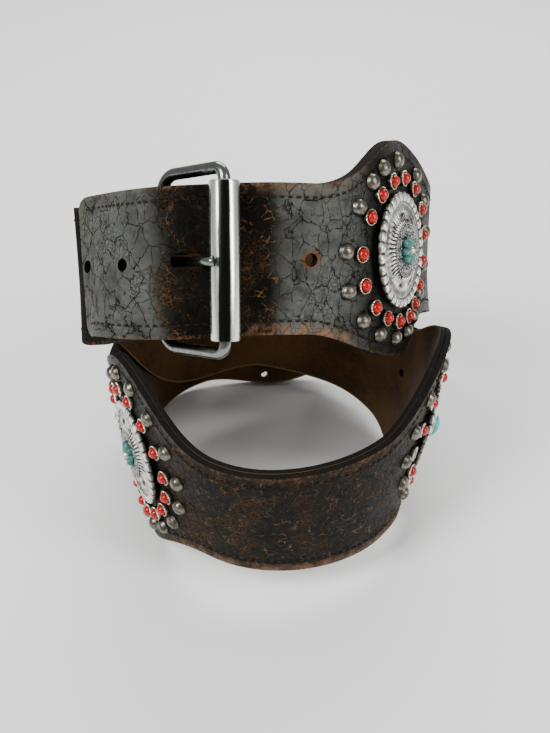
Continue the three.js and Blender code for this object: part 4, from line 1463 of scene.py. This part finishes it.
@dataclass
class Buckle:
    """A roller buckle, in millimetres."""

    line: BeltLine
    palette: Palette
    side_gap: float = 2.4
    spread: float = 0.03
    heel_corner: float = 8.5
    roller_corner: float = 5.0
    roller_length: float = 61.5
    prong_radius: float = 2.1
    prong_rises_at: float = 0.32
    prong_tip_angle: float = 30.0
    prong_past: float = 18.0

    def place(self) -> tuple[Matrix, float]:
        """The buckle's own matrix, and the distance from heel bar to roller."""
        bar, across, outward, _, length, forward = self.line.buckle()
        return matrix_of(forward, across, outward, bar), length

    def wire(
        self, name: str, points: np.ndarray, radii: np.ndarray, closed: bool
    ) -> bpy.types.Object:
        """A round wire through points, in millimetres.

        Args:
            name: The piece's name.
            points: The wire's middle.
            radii: Its radius at each point.
            closed: Whether it joins up.

        Returns:
            The wire as a mesh.
        """
        clear_selection()
        curve = bpy.data.curves.new(name, "CURVE")
        curve.dimensions = "3D"
        curve.bevel_depth = 1.0
        curve.bevel_resolution = 6
        curve.use_fill_caps = True
        spline = curve.splines.new("POLY")
        spline.points.add(len(points) - 1)
        for point, spot, radius in zip(spline.points, points, radii):
            point.co = (*(spot * MM), 1.0)
            point.radius = radius * MM
        spline.use_cyclic_u = closed
        piece = bpy.data.objects.new(name, curve)
        bpy.context.collection.objects.link(piece)
        only(piece)
        bpy.ops.object.convert(target="MESH")
        piece = bpy.context.object
        piece.data.materials.append(self.palette.steel)
        return piece

    def frame_wire(self, matrix: Matrix, length: float) -> None:
        """The frame's closed loop of wire."""
        half = self.line.strap_width / 2 + self.side_gap + self.line.wire_radius
        heel, roller = self.heel_corner, self.roller_corner
        corners = ((length - roller, half - roller, 0, roller), (heel, half - heel, 90, heel),
                   (heel, heel - half, 180, heel), (length - roller, roller - half, 270, roller))
        points = []
        for x, y, start, radius in corners:
            for i in range(11):
                angle = math.radians(start + 9 * i)
                points.append((x + radius * math.cos(angle), y + radius * math.sin(angle), 0.0))
        path = np.array(points)
        path[:, 1] *= 1 + self.spread * path[:, 0] / length
        piece = self.wire("buckle_wire", path, np.full(len(path), self.line.wire_radius), True)
        piece.data.transform(matrix)
        smooth(piece)
        finished(piece, "steel", "buckle_frame")

    def roller(self, matrix: Matrix, length: float) -> None:
        """The roller, a thin tube with turned-in ends."""
        r, half = self.line.roller_radius, self.roller_length / 2
        bore = self.line.wire_radius + 0.35
        profile = [
            (bore, -half + 0.2), (r - 0.7, -half), (r - 0.15, -half + 0.35), (r, -half + 1.0),
            (r, half - 1.0), (r - 0.15, half - 0.35), (r - 0.7, half), (bore, half - 0.2),
            (bore, -half + 0.2),
        ]
        piece = spun("roller_tube", profile, 48)
        turn = Matrix.Rotation(-math.pi / 2, 4, "X")
        piece.data.transform(matrix @ Matrix.Translation((length * MM, 0, 0)) @ turn)
        piece.data.materials.append(self.palette.roller)
        smooth(piece, 30.0)
        finished(piece, "steel", "buckle_roller")

    def prong(self, matrix: Matrix, length: float) -> None:
        """The prong: an eye round the heel bar, and a shank up through the hole."""
        eye = self.line.wire_radius + 0.3 + self.prong_radius
        rest = self.line.roller_radius + 0.3 + self.prong_radius
        angles = np.linspace(1.62 * math.pi, 0.0, 24)
        points = [(eye * math.cos(a), 0.0, eye * math.sin(a)) for a in angles]
        lean = math.radians(self.prong_tip_angle)
        rise = self.prong_rises_at * length
        tip = np.array((length - rest * math.sin(lean), 0.0, rest * math.cos(lean)))
        low = np.array((rise, 0.0, 0.0))
        for share in (0.35, 0.7):
            points.append(tuple(np.array((eye, 0, 0)) * (1 - share) + low * share))
        for share in (0.08, 0.25, 0.5, 0.75, 0.9):
            points.append(tuple(low * (1 - share) + tip * share))
        points.pop()
        end = self.prong_past
        for degrees in (-26.0, -18.0, -9.0, 0.0, 8.0, end - 4.0, end - 1.3, end):
            turn = math.radians(degrees)
            points.append((length + rest * math.sin(turn), 0.0, rest * math.cos(turn)))
        radii = np.full(len(points), self.prong_radius)
        radii[-3:] = self.prong_radius * np.array((1.0, 0.92, 0.6))
        piece = self.wire("prong_wire", np.array(points), radii, False)
        piece.data.transform(matrix)
        smooth(piece, 50.0)
        finished(piece, "steel", "buckle_prong")

    def build(self) -> None:
        """Make the frame, the roller and the prong."""
        matrix, length = self.place()
        self.frame_wire(matrix, length)
        self.roller(matrix, length)
        self.prong(matrix, length)


# --------------------------------------------------------------------------- the studio


@dataclass
class Studio:
    """Floor, light and camera. Camera sizes are in millimetres, picture sizes in pixels."""

    line: BeltLine
    elevation: float = 38.0
    distance: float = 445.5
    focal: float = 883.3
    centre: tuple = (275.8, 370.2)
    target_height: float = 56.5
    picture: tuple = (550, 733)

    def camera(self) -> None:
        """Set the camera at the photograph's angle."""
        made = bpy.data.cameras.new("camera")
        camera = bpy.data.objects.new("camera", made)
        bpy.context.collection.objects.link(camera)
        tilt = math.radians(self.elevation)
        eye = np.array((0.0, -self.distance * math.cos(tilt),
                        self.target_height + self.distance * math.sin(tilt))) + self.line.shift
        camera.location = Vector(eye * MM)
        camera.rotation_euler = (math.pi / 2 - tilt, 0.0, 0.0)
        width, height = self.picture
        made.sensor_fit = "VERTICAL"
        made.sensor_height = 36.0
        made.lens = self.focal / height * 36.0
        made.shift_x = (width / 2 - self.centre[0]) / height
        made.shift_y = (self.centre[1] - height / 2) / height
        made.clip_start = 0.01
        bpy.context.scene.camera = camera

    def light(
        self, name: str, spot: tuple, aim: tuple, size: tuple, watts: float,
        warmth: tuple = (1, 1, 1),
    ) -> None:
        """Add a soft light.

        Args:
            name: The light's name.
            spot: Its place in metres.
            aim: The place it points at.
            size: Its width and height in metres.
            watts: Its power.
            warmth: Its colour.
        """
        made = bpy.data.lights.new(name, "AREA")
        made.shape = "RECTANGLE"
        made.size, made.size_y = size
        made.energy = watts
        made.color = warmth
        lamp = bpy.data.objects.new(name, made)
        bpy.context.collection.objects.link(lamp)
        lamp.location = spot
        lamp.rotation_euler = (Vector(aim) - Vector(spot)).to_track_quat("-Z", "Y").to_euler()

    def floor(self) -> None:
        """A plain pale floor."""
        clear_selection()
        bpy.ops.mesh.primitive_plane_add(size=6.0)
        floor = bpy.context.object
        floor.name = "floor"
        s = Shader("pale_floor")
        cloud = s.noise(s.place(), 3.0)
        s.set(Base_Color=s.mix(cloud, (0.90, 0.90, 0.89), (0.93, 0.93, 0.92)), Roughness=0.9)
        floor.data.materials.append(s.material)

    def build(self) -> None:
        """Make the floor, the lights and the camera."""
        self.floor()
        world = bpy.data.worlds.new("studio")
        bpy.context.scene.world = world
        world.use_nodes = True
        world.node_tree.nodes["Background"].inputs[0].default_value = (1.0, 1.0, 1.0, 1.0)
        world.node_tree.nodes["Background"].inputs[1].default_value = 0.42
        aim = (0.0, 0.0, 0.09)
        self.light("key", (-0.75, -0.55, 0.95), aim, (0.45, 0.7), 17.0)
        self.light("fill", (0.85, -0.45, 0.65), aim, (0.30, 0.8), 9.0)
        self.light("back", (0.1, 0.9, 0.9), aim, (0.9, 0.5), 13.0)
        self.camera()


def main() -> None:
    """Build the belt, dress it and set the studio."""
    logging.basicConfig(level=logging.INFO, format="%(name)s %(message)s")
    line = BeltLine()
    palette = Palette()
    Studio(line).build()
    Strap(line, palette).build()
    Trim(line, palette).build()
    Concho(line, palette).build()
    Buckle(line, palette).build()
    clear_selection()


if __name__ == "__main__":
    main()
